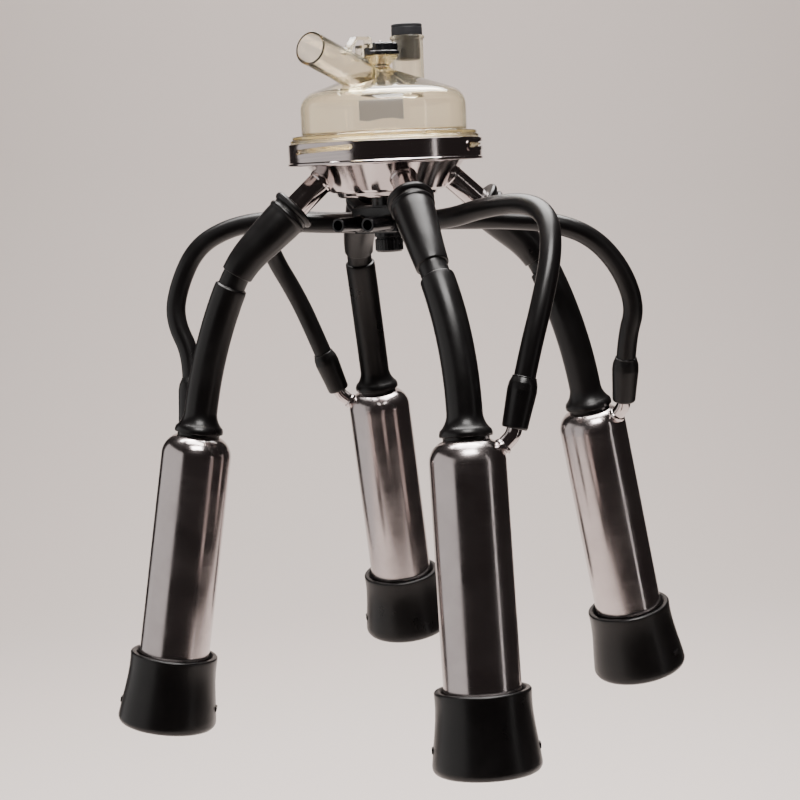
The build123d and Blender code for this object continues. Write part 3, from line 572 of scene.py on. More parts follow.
def amber(name, clear, frosted, absorbed, density):
    """Clear straw-coloured plastic, with a frosted bare field on the front of the wall."""
    recipe = Recipe(name, clear, 0.04, IOR=1.49, Transmission_Weight=1.0)
    place = recipe.place()
    split = recipe.nodes.new("ShaderNodeSeparateXYZ")
    recipe.links.new(place, split.inputs[0])
    x, y, z = (split.outputs[axis] for axis in "XYZ")

    turned = recipe.math("ARCTAN2", y, x)
    off = recipe.math("ABSOLUTE", recipe.math("SUBTRACT", turned, math.radians(PATCH_AZ)))
    fade = (math.radians(PATCH_HALF), math.radians(PATCH_HALF + PATCH_FADE))
    side = recipe.ramp(off, fade, (1.0, 0.0))
    wavy = recipe.noise(place, scale=45.0, detail=2.0, rough=0.5)
    low = recipe.math("ADD", z, recipe.ramp(wavy, (0.3, 0.7), (-0.0016, 0.0016)))
    bottom = recipe.ramp(low, (PATCH_LOW_Z, PATCH_LOW_Z + PATCH_EDGE))
    top = recipe.ramp(z, (PATCH_TOP_Z, PATCH_TOP_Z + PATCH_EDGE), (1.0, 0.0))
    squares = recipe.math("ADD", recipe.math("POWER", x, 2.0), recipe.math("POWER", y, 2.0))
    skin = recipe.ramp(recipe.math("SQRT", squares), (PATCH_R, PATCH_R + 0.0004))
    field = recipe.math("MULTIPLY", recipe.math("MULTIPLY", side, bottom),
                        recipe.math("MULTIPLY", top, skin))

    grit = recipe.noise(place, scale=1800.0, detail=3.0, rough=0.6)
    haze = recipe.noise(place, scale=30.0, detail=5.0, rough=0.6)
    wiped = recipe.ramp(haze, (0.35, 0.75), (0.03, 0.09))
    recipe.feed("Roughness", recipe.math("MAXIMUM", recipe.math("MULTIPLY", field, 0.55), wiped))
    recipe.feed("Base Color", recipe.mixed(field, clear, frosted))
    recipe.feed("Transmission Weight", recipe.ramp(field, (0.0, 1.0), (0.985, 0.5)))
    gritty = recipe.bump(recipe.math("MULTIPLY", grit, field), strength=0.5, distance=0.0003)
    recipe.bump(haze, strength=0.03, distance=0.0006, under=gritty)

    depth = recipe.nodes.new("ShaderNodeVolumeAbsorption")
    depth.inputs["Color"].default_value = (*absorbed, 1)
    depth.inputs["Density"].default_value = density
    recipe.links.new(depth.outputs["Volume"], recipe.nodes["Material Output"].inputs["Volume"])
    return recipe.material


STEEL = steel("polished_steel", (0.58, 0.52, 0.51), rough=0.11, brush=0.015)
SHELL = steel("turned_steel", (0.54, 0.485, 0.48), rough=0.17, brush=0.04)
RUBBER = rubber("black_rubber", (0.0030, 0.0025, 0.0026), rough=0.31)
TUBE = rubber("tube_rubber", (0.0034, 0.0028, 0.0029), rough=0.33)
GREY = rubber("grey_rubber", (0.022, 0.022, 0.025), rough=0.45)
PLASTIC = plastic("black_plastic", (0.004, 0.004, 0.005), rough=0.24)
AMBER = amber("amber_plastic", clear=(0.99, 0.965, 0.90), frosted=(0.24, 0.235, 0.23),
              absorbed=(0.97, 0.80, 0.15), density=48.0)


def dress(obj, finish, node, body="root"):
    """Gives a piece its finish, and stands it for its CAD node on that node's body."""
    obj.data.materials.clear()
    obj.data.materials.append(finish)
    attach(obj, body)
    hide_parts(node)


# Pulse tubes
def cord_points(leg):
    """Control points of a pulse tube, the same as the route in the CAD."""
    way_x = math.copysign(1, leg.out.x)
    way_y = math.copysign(1, leg.out.y)
    _, end, way = leg.nipple()
    tube_end = end + way * (PULSE_CUFF_GAP + PULSE_CUFF_LENGTH - PULSE_CUFF_SEAT)
    points = [Vector((way_x * BLOCK_X, way_y * SHORT_Y, NIPPLE_Z))]
    points += [Vector(p) for p in ROUTES[leg.name]]
    return points + [tube_end + way * TUBE_LAST_RUN, tube_end]


def pulse_tube(leg):
    """A pulse tube as one smooth line, riding with the claw."""
    points = cord_points(leg)
    curve = bpy.data.curves.new(f"pulse_tube_{leg.name}_look", "CURVE")
    curve.dimensions = "3D"
    curve.bevel_depth = TUBE_R * MM
    curve.bevel_resolution = 9
    curve.resolution_u = 16
    curve.use_fill_caps = True
    spline = curve.splines.new("NURBS")
    spline.points.add(len(points) - 1)
    for control, point in zip(spline.points, points):
        control.co = (*(point * MM), 1.0)
    spline.order_u = 3
    spline.use_endpoint_u = True
    cord = linked(curve.name, curve)
    dress(cord, TUBE, f"pulse_tube_{leg.name}")
    return cord


def curve_length(cord):
    """Length of a cord's middle line, measured on a thin copy."""
    thin = cord.data.copy()
    thin.bevel_depth = 0.0
    probe = bpy.data.objects.new("length_probe", thin)
    line = bpy.data.meshes.new_from_object(probe)
    length = sum((line.vertices[a].co - line.vertices[b].co).length
                 for a, b in (e.vertices for e in line.edges))
    bpy.data.meshes.remove(line)
    bpy.data.objects.remove(probe)
    bpy.data.curves.remove(thin)
    return length


legs = [Leg(name) for name in LEGS]
cords = {leg.name: pulse_tube(leg) for leg in legs}


# Claw
UP = straight(ORIGIN, ALONG_Z)
BOSS = straight(Vector((0, BOSS_Y, 0)), ALONG_Z)
LUGS_AZ = [LUG_AZ + 360.0 * i / LUG_COUNT for i in range(LUG_COUNT)]


def slot_ring(name, az, half, r0, r1, span=SLOT_SPAN):
    """A slanted ring piece with round ends, for the bayonet's slots, rims and lugs."""
    wide = math.radians(span)
    lean = math.tan(math.radians(SLOT_TILT))
    end = half / ((r0 + r1) / 2)
    steps, round_steps = 24, 8
    outline = []
    for way in (-1, 1):
        outline += [(-way * (-wide / 2 + wide * k / steps), way * half) for k in range(steps + 1)]
        for k in range(1, round_steps):
            a = way * math.pi / 2 + math.pi * k / round_steps
            outline.append((-way * wide / 2 + end * math.cos(a), half * math.sin(a)))
    bm = bmesh.new()
    loops = []
    for r in (r0, r1):
        ring = []
        for t, h in outline:
            a = math.radians(az) + t
            z = SLOT_Z + h + BAND_R * math.sin(t) * lean
            ring.append(bm.verts.new(Vector((r * math.cos(a), r * math.sin(a), z)) * MM))
        loops.append(ring)
    inner, outer = loops
    for i in range(len(outline)):
        j = (i + 1) % len(outline)
        bm.faces.new((inner[i], inner[j], outer[j], outer[i]))
    # Both sides close with strips across the slot, so that they follow the band's curve
    half_way = steps + round_steps
    for ring in loops:
        low = ring[:steps + 1]
        high = list(reversed(ring[half_way:half_way + steps + 1]))
        for i in range(steps):
            bm.faces.new((low[i], low[i + 1], high[i + 1], high[i]))
        bm.faces.new([low[-1]] + ring[steps + 1:half_way] + [high[-1]])
        bm.faces.new([high[0]] + ring[half_way + steps + 1:] + [low[0]])
    return finish_mesh(bm, name)


def cone_z(r):
    """Height of the bowl's cone at a radius."""
    return CONE_Z - (r - CONE_R) / CONE_RUN


CONE_ANGLE = math.degrees(math.atan2(CONE_RUN, 1.0))
SLANT = math.sqrt(1 + 1 / CONE_RUN ** 2)
DOME_X = WALL_R - DOME_BEND
DOME_Z = cone_z(DOME_X) - DOME_BEND * SLANT
UNDER_Z = cone_z(CONE_R) - BOWL_T * SLANT
DOME_OUT = arc_points(DOME_X, DOME_Z, DOME_BEND, 0, CONE_ANGLE)[1:]
DOME_IN = arc_points(DOME_X, DOME_Z, DOME_BEND - BOWL_T, CONE_ANGLE, 0)


def bowl_body():
    """Flange, skirt, wall, dome and the neck that narrows to a waist under the knob."""
    wall_in = WALL_R - BOWL_T
    skirt_in = SKIRT_R - SKIRT_T
    profile = [
        (wall_in, GASKET_TOP_Z, 0.3), (WALL_R, GASKET_TOP_Z, 0.6), (WALL_R, WEB_Z, 1.0),
        (skirt_in, WEB_Z, 0.8), (skirt_in, SKIRT_FOOT_Z, 0.4), (SKIRT_R, SKIRT_FOOT_Z, 0.5),
        (SKIRT_R, FLANGE_STEP_Z, 0.7), (FLANGE_R, FLANGE_STEP_Z, 0.4),
        (FLANGE_R, FLANGE_TOP_Z, 1.0), (WALL_R, FLANGE_TOP_Z, 1.6), (WALL_R, DOME_Z, 0)]
    profile += DOME_OUT
    profile += [
        (NECK_FOOT_R, cone_z(NECK_FOOT_R), 1.5), (WAIST_R, WAIST_LOW_Z, 1.0),
        (WAIST_R, WAIST_TOP_Z, 0.8), (NECK_HEAD_R, NECK_HEAD_Z, 0.8),
        (NECK_HEAD_R, NECK_TOP_Z, 0.3), (NECK_BORE_R, NECK_TOP_Z, 0.2),
        (NECK_BORE_R, UNDER_Z, 0.2), (CONE_R, UNDER_Z, 4.0)]
    profile += DOME_IN
    return spun("claw_bowl_look", UP, softened(profile, 0.5), 160)


def nozzle_bodies():
    """The slanted outlet and its bore, from its root inside the dome."""
    tilt = math.radians(NOZZLE_TILT)
    way = Vector((0, -math.cos(tilt), math.sin(tilt)))
    spine = straight(NOZZLE_MOUTH - way * NOZZLE_LENGTH, way, ALONG_X)
    pipe = spun("nozzle_body", spine, softened(
        [(0, 0, 0), (NOZZLE_FOOT_R, 0, 2.5), (NOZZLE_FOOT_R, 3.0, 0), (NOZZLE_R, 30.0, 0),
         (NOZZLE_R, NOZZLE_LENGTH, 0.5), (0, NOZZLE_LENGTH, 0)], 0.3), 72)
    bore = spun("nozzle_bore", spine, [
        (0, 4), (NOZZLE_BORE_R, 4), (NOZZLE_BORE_R, NOZZLE_LENGTH + 4), (0, NOZZLE_LENGTH + 4)], 72)
    return pipe, bore


def boss_bodies():
    """The boss with its bead, its bore, and the hole from the bore into the dome."""
    low = cone_z(BOSS_Y + BOSS_R) - 1.0
    seat = cone_z(BOSS_Y)
    boss = spun("boss_body", BOSS, softened(
        [(0, low, 0), (BOSS_R, low, 0), (BOSS_R, BOSS_TOP_Z - 2.5, 0.3),
         (BOSS_BEAD_R, BOSS_TOP_Z - 2.1, 0.8), (BOSS_BEAD_R, BOSS_TOP_Z, 0.9),
         (0, BOSS_TOP_Z, 0)], 0.3), 72)
    bore = spun("boss_bore", BOSS, [
        (0, seat), (BOSS_BORE_R, seat), (BOSS_BORE_R, BOSS_TOP_Z + 3), (0, BOSS_TOP_Z + 3)], 72)
    hole = spun("boss_hole", BOSS, [
        (0, seat - 8), (BOSS_HOLE_R, seat - 8), (BOSS_HOLE_R, seat + 1), (0, seat + 1)], 48)
    return boss, bore, hole


def eye_body():
    """The hanging eye, a flat loop between the nozzle and the knob."""
    outline = [(-42.6, 3.6), (-32.0, 12.6), (-30.6, 13.2), (-15.6, 13.9), (-14.5, 13.4),
               (-13.2, 7.2), (-23.6, 6.4), (-23.6, -2.0), (-42.6, -2.0)]
    window = [(-37.6, 2.0), (-37.6, 5.2), (-30.9, 10.9), (-16.2, 12.0), (-15.6, 9.0),
              (-26.2, 8.2), (-26.2, -1.0)]
    eye = slab("eye_body", outline, -EYE_HALF, EYE_HALF, bevel=0.5)
    return carved(eye, [], [slab("eye_window", window, -4, 4)])


def bowl():
    """The clear bowl: one moulding with nozzle, boss, hanging eye, key notch and lugs."""
    body = bowl_body()
    nozzle, nozzle_bore = nozzle_bodies()
    boss, boss_bore, boss_hole = boss_bodies()
    inside = spun("inside_cut", UP, [(0, UNDER_Z), (CONE_R, UNDER_Z)] + DOME_IN +
                  [(WALL_R - BOWL_T, GASKET_TOP_Z + 1), (0, GASKET_TOP_Z + 1)], 160)
    notch = slab("notch_cut", [(-1.6, RIM_Z + 2.2), (1.6, RIM_Z + 2.2), (1.6, RIM_Z + 6),
                               (-1.6, RIM_Z + 6)], 56.9, 60)
    notch.data.transform(Matrix.Rotation(math.radians(-35), 4, "Z"))
    lugs = [slot_ring(f"lug_{i}", az, 0.6, 59.4, 61.0, LUG_SPAN) for i, az in enumerate(LUGS_AZ)]
    carved(body, lugs + [nozzle, boss, eye_body()],
           [inside, nozzle_bore, boss_bore, boss_hole, notch])
    dress(body, AMBER, "claw_bowl")


def cover():
    """Band, floor and cup pressed from one sheet, with raised rims round the slots."""
    wall_z, wall_r = CUP_TOP_Z - CUP_FOOT_Z, CUP_TOP_R - CUP_FOOT_R
    slope = math.hypot(wall_r, wall_z)
    in_r, in_z = STEEL_T * wall_z / slope, STEEL_T * wall_r / slope
    roll_r = BAND_R + BAND_ROLL
    band_in = BAND_R - STEEL_T
    bottom_in = CUP_BOTTOM_Z + STEEL_T
    profile = [
        (band_in, RIM_Z, 0.3), (BAND_R, RIM_Z, 0.3), (BAND_R, CUP_TOP_Z + 2.2, 0.5),
        (roll_r, CUP_TOP_Z + 1.5, 0.7), (roll_r, CUP_TOP_Z + 0.4, 0.7),
        (BAND_R + 0.1, CUP_TOP_Z, 0.5), (CUP_TOP_R, CUP_TOP_Z, 1.6), (CUP_FOOT_R, CUP_FOOT_Z, 1.2),
        (35.4, CUP_FOOT_Z - 1.1, 0.8), (CUP_WELL_R, CUP_WELL_Z, 0.8),
        (31.6, CUP_BOTTOM_Z + 1.0, 1.2), (CUP_BOTTOM_R, CUP_BOTTOM_Z, 1.6), (0, CUP_BOTTOM_Z, 0),
        (0, bottom_in, 0), (29.3, bottom_in, 0.8), (31.1, CUP_WELL_Z + STEEL_T, 0.5),
        (35.0, CUP_FOOT_Z + 0.1, 0.8), (CUP_FOOT_R - in_r, CUP_FOOT_Z + in_z, 1.0),
        (CUP_TOP_R - in_r, CUP_TOP_Z + in_z + 0.35, 1.0), (49.8, FLOOR_TOP_Z, 0.5),
        (band_in, FLOOR_TOP_Z, 0.8)]
    body = spun("claw_cover_look", UP, softened(profile, 0.4), 192)
    rims = [slot_ring(f"slot_rim_{i}", az, SLOT_RIM_HALF, 60.7, 61.8)
            for i, az in enumerate(LUGS_AZ)]
    slots = [slot_ring(f"slot_hole_{i}", az, SLOT_HALF, 59.0, 63.0)
             for i, az in enumerate(LUGS_AZ)]
    port_r = INLET_R - 0.1
    ports = [spun(f"port_{leg.name}", straight(leg.seat, leg.axis),
                  [(0, -39.5), (port_r, -39.5), (port_r, -8), (0, -8)], 48) for leg in legs]
    carved(body, rims, slots + ports)
    dress(body, STEEL, "claw_cover")


def gasket_and_plug():
    gasket_in, gasket_out = WALL_R - BOWL_T - 0.4, SKIRT_R - SKIRT_T - 1.0
    gasket = spun("bowl_gasket_look", UP, softened(
        [(gasket_in, FLOOR_TOP_Z, 0.2), (gasket_out, FLOOR_TOP_Z, 0.3),
         (gasket_out, GASKET_TOP_Z, 0.3), (gasket_in, GASKET_TOP_Z, 0.2)], 0.2), 128)
    dress(gasket, RUBBER, "bowl_gasket")

    shank_r, head_r, head_top = BOSS_BORE_R - 0.15, 10.0, BOSS_TOP_Z + 7.4
    plug = spun("boss_plug_look", BOSS, softened(
        [(0, 2.0, 0), (shank_r, 2.0, 1.0), (shank_r, BOSS_TOP_Z, 0.2), (head_r, BOSS_TOP_Z, 0.5),
         (head_r, head_top - 2.2, 0.5), (head_r - 0.3, head_top - 1.8, 0.4),
         (head_r, head_top - 1.4, 0.4), (head_r, head_top, 1.6), (6.2, head_top, 0.4),
         (5.8, head_top - 0.5, 0.4), (0, head_top - 0.5, 0)], 0.3), 72)
    dress(plug, GREY, "boss_plug")


def fluted(r, s, t):
    """Shallow grip flutes round the knob, above its flange."""
    if s < KNOB_GRIP_Z:
        return r
    return r * (1 - 0.085 * (0.5 + 0.5 * math.cos(KNOB_FLUTES * t)) ** 2)


def valve():
    """Knob, stem and seal, which lift together."""
    knob = spun("valve_knob_look", UP, softened(
        [(0, KNOB_LOW_Z, 0), (11.2, KNOB_LOW_Z, 0.5), (KNOB_FLANGE_R, 3.7, 0.5),
         (KNOB_FLANGE_R, 5.3, 0.6), (11.2, 5.8, 0.3), (10.6, 5.95, 0.3), (KNOB_R, 6.6, 0.4),
         (KNOB_R, 9.9, 0.8), (10.0, KNOB_TOP_Z, 0.6), (3.4, KNOB_TOP_Z, 0.3),
         (3.1, KNOB_TOP_Z - 0.5, 0.2), (0, KNOB_TOP_Z - 0.5, 0)], 0.4), 160, fluted)
    dress(knob, PLASTIC, "valve_knob", body="valve")

    foot_z, step_z = SEAL_LOW_Z - 2.2, 5.75
    stem = spun("valve_stem_look", UP, softened(
        [(0, foot_z, 0), (4.2, foot_z, 0.3), (5.0, foot_z + 0.8, 0.3), (5.0, SEAL_LOW_Z, 0.2),
         (STEM_R, SEAL_LOW_Z, 0), (STEM_R, step_z, 0), (STEM_TIP_R, step_z, 0),
         (STEM_TIP_R, STEM_TOP_Z, 0.35), (0, STEM_TOP_Z, 0)], 0.2), 48)
    dress(stem, STEEL, "valve_stem", body="valve")

    bore_r = STEM_R + 0.05
    seal = spun("valve_seal_look", UP, softened(
        [(bore_r, SEAL_LOW_Z, 0.2), (9.0, SEAL_LOW_Z, 0.8), (SEAL_R, SEAL_LOW_Z + 1.6, 0.4),
         (SEAL_R, SEAL_TOP_Z - 1.2, 0.6), (7.0, SEAL_TOP_Z, 1.0), (bore_r, SEAL_TOP_Z, 0.2)],
        0.3), 96)
    dress(seal, RUBBER, "valve_seal", body="valve")


# Pulse distributor
def rounded_block(name):
    """The block with its upright corners and its level edges rounded."""
    size = (2 * BLOCK_X, 2 * BLOCK_Y, BLOCK_TOP_Z - BLOCK_LOW_Z)
    bm = brick(size, Vector((0, 0, (BLOCK_TOP_Z + BLOCK_LOW_Z) / 2)))
    upright = [e for e in bm.edges if abs((e.verts[0].co - e.verts[1].co).z) > 10 * MM]
    bmesh.ops.bevel(bm, geom=upright, offset=2.5 * MM, segments=6, affect="EDGES")
    level = []
    for edge in bm.edges:
        flat = [abs(face.normal.z) > 0.9 for face in edge.link_faces]
        if len(flat) == 2 and flat[0] != flat[1]:
            level.append(edge)
    bmesh.ops.bevel(bm, geom=level, offset=1.2 * MM, segments=3, affect="EDGES")
    return finish_mesh(bm, name)


def distributor():
    """Block, its neck up to the cup, four short nipples for tubes and two long ones."""
    added = [spun("neck", UP, softened(
        [(0, -92, 0), (10, -92, 0), (10, CUP_BOTTOM_Z, 0.4), (0, CUP_BOTTOM_Z, 0)], 0.2), 64)]
    bores = []
    for way_x in (-1, 1):
        for way_y in (-1, 1):
            spine = straight(Vector((way_x * 17.0, way_y * SHORT_Y, NIPPLE_Z)),
                             Vector((way_x, 0, 0)))
            added.append(spun(f"short_{way_x}_{way_y}", spine, softened(
                [(0, 0, 0), (3.7, 0, 0), (3.7, 13, 0), (SHORT_R, 14, 0.2), (3.5, 16, 0.2),
                 (0, 16, 0)], 0.2), 40))
            bores.append(spun(f"short_bore_{way_x}_{way_y}", spine, [
                (0, -11), (SHORT_BORE_R, -11), (SHORT_BORE_R, 20), (0, 20)], 32))
        spine = straight(Vector((way_x * LONG_X, -16.0, NIPPLE_Z)), Vector((0, -1, 0)))
        added.append(spun(f"long_{way_x}", spine, softened(
            [(0, 0, 0), (5.4, 0, 0.3), (5.4, 2.4, 0.3), (LONG_R, 3.2, 0.3),
             (LONG_R, LONG_LENGTH - 2.6, 0.2), (LONG_R, LONG_LENGTH, 0.6), (0, LONG_LENGTH, 0)],
            0.3), 48))
        bores.append(spun(f"long_bore_{way_x}", spine, [
            (0, -29), (LONG_BORE_R, -29), (LONG_BORE_R, 30), (0, 30)], 40))
    block = carved(rounded_block("pulse_distributor_look"), added, bores)
    dress(block, PLASTIC, "pulse_distributor")


def knurled(r, s, t):
    """Fine grip lines on the nut, where it is widest and below its top edge."""
    if r < 7.9 or s > BLOCK_LOW_Z - 0.9:
        return r
    return r * (1 - 0.018 * (0.5 + 0.5 * math.cos(NUT_KNURLS * t)))


def stud_and_nut():
    stud_low = NUT_LOW_Z + 2.0
    stud = spun("distributor_stud_look", UP, softened(
        [(0, stud_low, 0), (STUD_R, stud_low, 0.5), (STUD_R, CUP_BOTTOM_Z, 0),
         (0, CUP_BOTTOM_Z, 0)], 0.2), 40)
    dress(stud, STEEL, "distributor_stud")

    hole_r, groove_z = STUD_R + 0.05, BLOCK_LOW_Z - 3.5
    nut = spun("distributor_nut_look", UP, softened(
        [(hole_r, stud_low, 0), (0, stud_low, 0), (0, NUT_LOW_Z, 0),
         (NUT_R - 1.2, NUT_LOW_Z, 0.6), (NUT_R, NUT_LOW_Z + 1.2, 0.6),
         (NUT_R, groove_z - 0.8, 0.2), (NUT_R - 1.0, groove_z - 0.4, 0.2),
         (NUT_R - 1.0, groove_z + 0.4, 0.2), (NUT_R, groove_z + 0.8, 0.2),
         (NUT_R, BLOCK_LOW_Z, 0.3), (hole_r, BLOCK_LOW_Z, 0.1)], 0.3), 180, knurled)
    dress(nut, PLASTIC, "distributor_nut")


# Legs
def milk_inlet(leg):
    """Steel pipe with the weld's small collar on the cup's wall."""
    inlet = spun(f"milk_inlet_{leg.name}_look", straight(leg.seat, leg.axis, leg.across), softened(
        [(INLET_BORE_R, INLET_IN, 0.2), (INLET_R, INLET_IN, 0.2), (INLET_R, -24.2, 0),
         (8.6, -23.2, 0.6), (8.3, -21.4, 0.8), (INLET_R, -20.4, 0.6), (INLET_R, INLET_OUT, 0.3),
         (INLET_BORE_R, INLET_OUT, 0.3)], 0.2), 64)
    dress(inlet, STEEL, f"milk_inlet_{leg.name}")


def liner_profile():
    """Closed profile of the liner, (r, s) with s from the cuff's bead."""
    foot = LINER_LENGTH
    cap = foot + CAP_TOP
    mouth = foot + CAP_BOTTOM
    shell_end = foot + SHELL_END + 0.15
    collar = SHELL_END_R + 0.15
    cuff_bore = INLET_R + 0.15
    points = [
        # Cuff with its bead and its first ring
        (cuff_bore, -2.0, 0.5), (13.7, -2.0, 0.8), (14.5, -0.8, 0.8), (14.5, 0.8, 0.8),
        (13.7, 2.0, 0.8), (12.4, 2.6, 0.5), (12.4, 4.3, 0.5), (13.5, 5.0, 0.6), (13.7, 6.0, 0.6),
        (13.4, 7.0, 0.6), (12.8, 7.8, 1.0), (12.75, 12.0, 0), (12.1, 22.0, 0),
        (11.2, CUFF_STRAIGHT, 0), (10.55, 44.0, 0), (9.95, CUFF_END - 0.4, 0.5),
        # Groove and milk tube
        (9.4, CUFF_END, 0.4), (8.6, CUFF_END + 0.1, 0.3), (8.6, BAND_END - 0.4, 0.5),
        (9.6, BAND_END - 0.1, 0.4), (10.2, BAND_END + 0.5, 0.5), (10.35, BAND_END + 3.0, 0),
        (MILK_TUBE_R, 80.0, 0), (MILK_TUBE_R, foot - 14.0, 0)]
    # Foot that flares like a bell
    points += [(MILK_TUBE_R + 13.1 * (1 - math.cos(t)), foot - 12.0 + 13.1 * math.sin(t), 0)
               for t in [math.radians(48.3) * k / 8 for k in range(9)]]
    points += [
        (15.3, foot - 0.4, 0.3), (15.3, foot + 1.2, 0.3), (15.0, foot + 1.6, 0.3),
        (13.4, foot + 1.9, 0.3), (13.4, foot + 3.6, 0.2), (10.45, foot + SHELL_TOP, 0),
        # Barrel in the shell, out over the shell's end and back up as the mouthpiece
        (10.45, foot + 3.4, 0), (11.6, foot + 3.4, 0), (BARREL_R, foot + 3.9, 0),
        (BARREL_R, shell_end - 9.0, 0), (19.0, shell_end, 0), (collar, shell_end, 0),
        (collar, cap + 5.0, 0.5), (collar + 1.4, cap + 0.9, 0.5), (collar + 2.4, cap, 0.6),
        (26.9, cap, 0.5), (27.7, cap + 0.8, 0.6), (27.55, cap + 5, 0), (27.55, cap + 10, 0),
        (27.9, cap + 15.5, 0), (28.5, cap + 21, 0), (29.2, cap + 26.5, 0), (30.0, cap + 32.0, 0),
        (CAP_R, mouth - 5.0, 0)]
    points += [(CAP_R - 3.6 * (1 - math.cos(t)), mouth - 4.6 + 4.2 * math.sin(t), 0)
               for t in [math.radians(a) for a in range(12, 85, 12)]]
    points += [
        # Mouth, mouthpiece chamber and bore
        (25.0, mouth - 0.1, 1.0), (15.0, mouth - 1.6, 1.5), (12.2, mouth - 2.0, 0.6),
        (TEAT_HOLE_R, mouth - 2.8, 0.6), (TEAT_HOLE_R, mouth - 4.6, 0.6),
        (12.6, mouth - 5.4, 0.6), (22.0, mouth - 6.6, 2.0), (24.6, mouth - 9.4, 2.0),
        (24.6, shell_end + 7.6, 2.0), (22.0, shell_end + 5.2, 2.0), (12.2, shell_end + 1.6, 1.0),
        (11.0, shell_end, 1.0), (11.0, foot + 15.0, 1.0), (MILK_BORE_R, foot + 7.0, 1.0),
        (MILK_BORE_R, 31.0, 1.0), (cuff_bore, 29.5, 1.0)]
    return divided(softened(points, 0.4, 3), 3.5)


LINER = liner_profile()


def nub(leg, side):
    """One of the two small moulded nubs on the mouthpiece's widest ring."""
    a = math.pi * side + math.radians(NUB_TURN.get(leg.name, 0.0))
    centre, normal, other = leg.spine(LINER_LENGTH + CAP_TOP + NUB_FROM_CAP)
    out = normal * math.cos(a) + other * math.sin(a)
    bm = brick(NUB_SIZE)
    bmesh.ops.bevel(bm, geom=bm.edges[:], offset=0.45 * MM, segments=2, affect="EDGES")
    obj = finish_mesh(bm, f"nub_{leg.name}_{side}")
    place = Matrix((out, leg.down.cross(out), leg.down)).transposed().to_4x4()
    place.translation = (centre + out * NUB_R) * MM
    obj.data.transform(place)
    return obj


def liner(leg):
    name = f"liner_{leg.name}_look"
    body = spun(name, leg.spine, LINER, 96)
    piece = joined(name, [body, nub(leg, 0), nub(leg, 1)])
    dress(piece, RUBBER, f"liner_{leg.name}")


def shell(leg):
    """Steel shell with a round shoulder, open at its foot."""
    centre_r = SHELL_R - SHELL_SHOULDER
    centre_u = SHELL_TOP + SHELL_SHOULDER
    inner = SHELL_SHOULDER - SHELL_T
    profile = [(SHELL_HOLE_R, SHELL_TOP, 0.3)]
    profile += arc_points(centre_r, centre_u, SHELL_SHOULDER, -66, 0, 18)
    profile += [(SHELL_END_R, SHELL_END, 0.3), (SHELL_END_R - SHELL_T, SHELL_END, 0.3)]
    profile += arc_points(centre_r, centre_u, inner, 0, -66, 14)
    profile += [(SHELL_HOLE_R, SHELL_TOP + SHELL_T, 0.2)]
    body = spun(f"shell_{leg.name}_look", straight(leg.foot, leg.down, leg.nipple_side),
                divided(softened(profile, 0.2), 6.0), 128)
    dress(body, SHELL, f"shell_{leg.name}")


def pulse_nipple(leg):
    """Bent nipple with the weld's ring on the shell's shoulder."""
    points, _, _ = leg.nipple()
    spine, length = through(points)
    profile = softened(
        [(NIPPLE_BORE_R, 0, 0), (NIPPLE_R, 0, 0), (NIPPLE_R, 1.6, 0), (5.6, 2.2, 0.6),
         (5.2, 4.0, 0.8), (NIPPLE_R, 4.6, 0.5), (NIPPLE_R, length, 0.3),
         (NIPPLE_BORE_R, length, 0.3)], 0.2)
    body = spun(f"pulse_nipple_{leg.name}_look", spine, divided(profile, 1.2), 48)
    dress(body, STEEL, f"pulse_nipple_{leg.name}")


def pulse_cuff(leg):
    """Rubber cuff over the nipple's end that takes the tube at its other end."""
    _, end, way = leg.nipple()
    nipple_fit, tube_fit = NIPPLE_R + 0.15, TUBE_R + 0.15
    tube_seat = PULSE_CUFF_LENGTH - PULSE_CUFF_SEAT
    body = spun(f"pulse_cuff_{leg.name}_look",
                straight(end + way * PULSE_CUFF_GAP, way), softened(
        [(nipple_fit, 0, 0.4), (7.0, 0, 0.8), (7.5, 1.2, 1.0), (7.8, 8.0, 0), (8.3, 16.0, 0),
         (8.6, 22.0, 3.0), (8.2, 26.0, 3.0), (7.3, 28.6, 1.0), (7.05, 29.1, 0.3),
         (7.15, 29.5, 0.3), (6.95, PULSE_CUFF_LENGTH, 0.4), (tube_fit, PULSE_CUFF_LENGTH, 0.1),
         (tube_fit, tube_seat, 0), (3.4, tube_seat, 0), (3.4, 16.5, 0), (nipple_fit, 15.5, 0)],
        0.3), 64)
    dress(body, RUBBER, f"pulse_cuff_{leg.name}")
    return body


bowl()
cover()
gasket_and_plug()
valve()
distributor()
stud_and_nut()
for leg in legs:
    milk_inlet(leg)
    liner(leg)
    shell(leg)
    pulse_nipple(leg)
    cuff = pulse_cuff(leg)
    cord = cords[leg.name]
    tuple(cord_points(leg)[0] * MM)
    round(curve_length(cord), 4)

# Stage, metres: a pale floor that curves up into a wall behind the object
FLOOR_Z, FLOOR_HALF = -0.85, 1.15
FLOOR_NEAR, FLOOR_FAR, FLOOR_BEND, WALL_TOP = -0.9, 1.6, 1.2, 4.5
PALE = (0.74, 0.66, 0.62)
facing = -Vector((camera_back.x, camera_back.y, 0)).normalized()


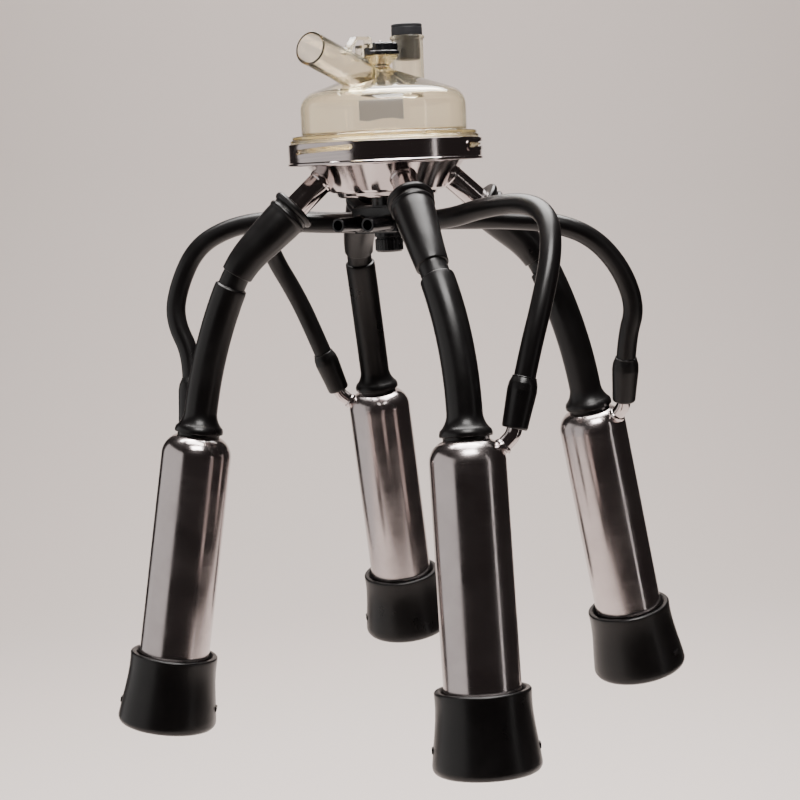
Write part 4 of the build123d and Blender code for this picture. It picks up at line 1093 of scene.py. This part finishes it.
def stage():
    rows = [(FLOOR_NEAR, 0.0), (FLOOR_FAR, 0.0)]
    for angle in range(6, 91, 6):
        a = math.radians(angle)
        rows.append((FLOOR_FAR + FLOOR_BEND * math.sin(a), FLOOR_BEND - FLOOR_BEND * math.cos(a)))
    rows.append((FLOOR_FAR + FLOOR_BEND, WALL_TOP))
    across = facing.cross(ALONG_Z)
    bm = bmesh.new()
    grid = []
    for ahead, z in rows:
        line = facing * ahead + Vector((0, 0, FLOOR_Z + z))
        grid.append([bm.verts.new(line + across * aside) for aside in (-FLOOR_HALF, FLOOR_HALF)])
    for near, far in zip(grid, grid[1:]):
        bm.faces.new((near[0], near[1], far[1], far[0]))
    floor = finish_mesh(bm, "floor", sharp=60)
    floor.data.materials.append(Recipe("floor_pale", PALE, 0.85).material)


def surroundings():
    """A dim room in the reflections, and a pale one where the camera sees past the floor."""
    world = bpy.data.worlds.new("world")
    bpy.context.scene.world = world
    world.use_nodes = True
    nodes, links = world.node_tree.nodes, world.node_tree.links
    room = nodes["Background"]
    room.inputs["Color"].default_value = (0.55, 0.46, 0.45, 1)
    room.inputs["Strength"].default_value = 0.05
    pale = nodes.new("ShaderNodeBackground")
    pale.inputs["Color"].default_value = (*PALE, 1)
    pale.inputs["Strength"].default_value = 1.0
    path = nodes.new("ShaderNodeLightPath")
    seen = nodes.new("ShaderNodeMath")
    seen.operation = "MAXIMUM"
    links.new(path.outputs["Is Camera Ray"], seen.inputs[0])
    links.new(path.outputs["Is Transmission Ray"], seen.inputs[1])
    pick = nodes.new("ShaderNodeMixShader")
    links.new(seen.outputs[0], pick.inputs["Fac"])
    links.new(room.outputs[0], pick.inputs[1])
    links.new(pale.outputs[0], pick.inputs[2])
    links.new(pick.outputs[0], nodes["World Output"].inputs["Surface"])


def softbox(name, place, size, power, at):
    """A light placed as the camera sees the object: (aside to the right, ahead to it, height)."""
    aside, ahead, height = place
    data = bpy.data.lights.new(name, "AREA")
    data.shape = "RECTANGLE"
    data.size, data.size_y = size
    data.energy = power
    data.color = (1, 0.97, 0.95)
    light = linked(name, data)
    side = Vector((camera_right.x, camera_right.y, 0)).normalized()
    light.location = side * aside - facing * ahead + Vector((0, 0, height))
    light.rotation_euler = (Vector(at) - light.location).to_track_quat("-Z", "Y").to_euler()


stage()
surroundings()
softbox("over", (0.10, -0.28, 0.85), (0.9, 1.2), 46, at=(0.05, -0.03, 0))
softbox("left", (-1.3, 0.20, -0.2), (2.3, 1.5), 9.5, at=(0, 0, -0.2))
softbox("right", (1.1, 0.65, -0.2), (0.05, 1.4), 0.7, at=(0, 0, -0.2))
softbox("front", (0.15, 0.75, 0.95), (0.7, 0.45), 22, at=(0, 0, -0.2))
softbox("wall", (0.0, -0.6, 1.9), (2.4, 0.6), 95, at=(-0.9, 1.5, 0.0))
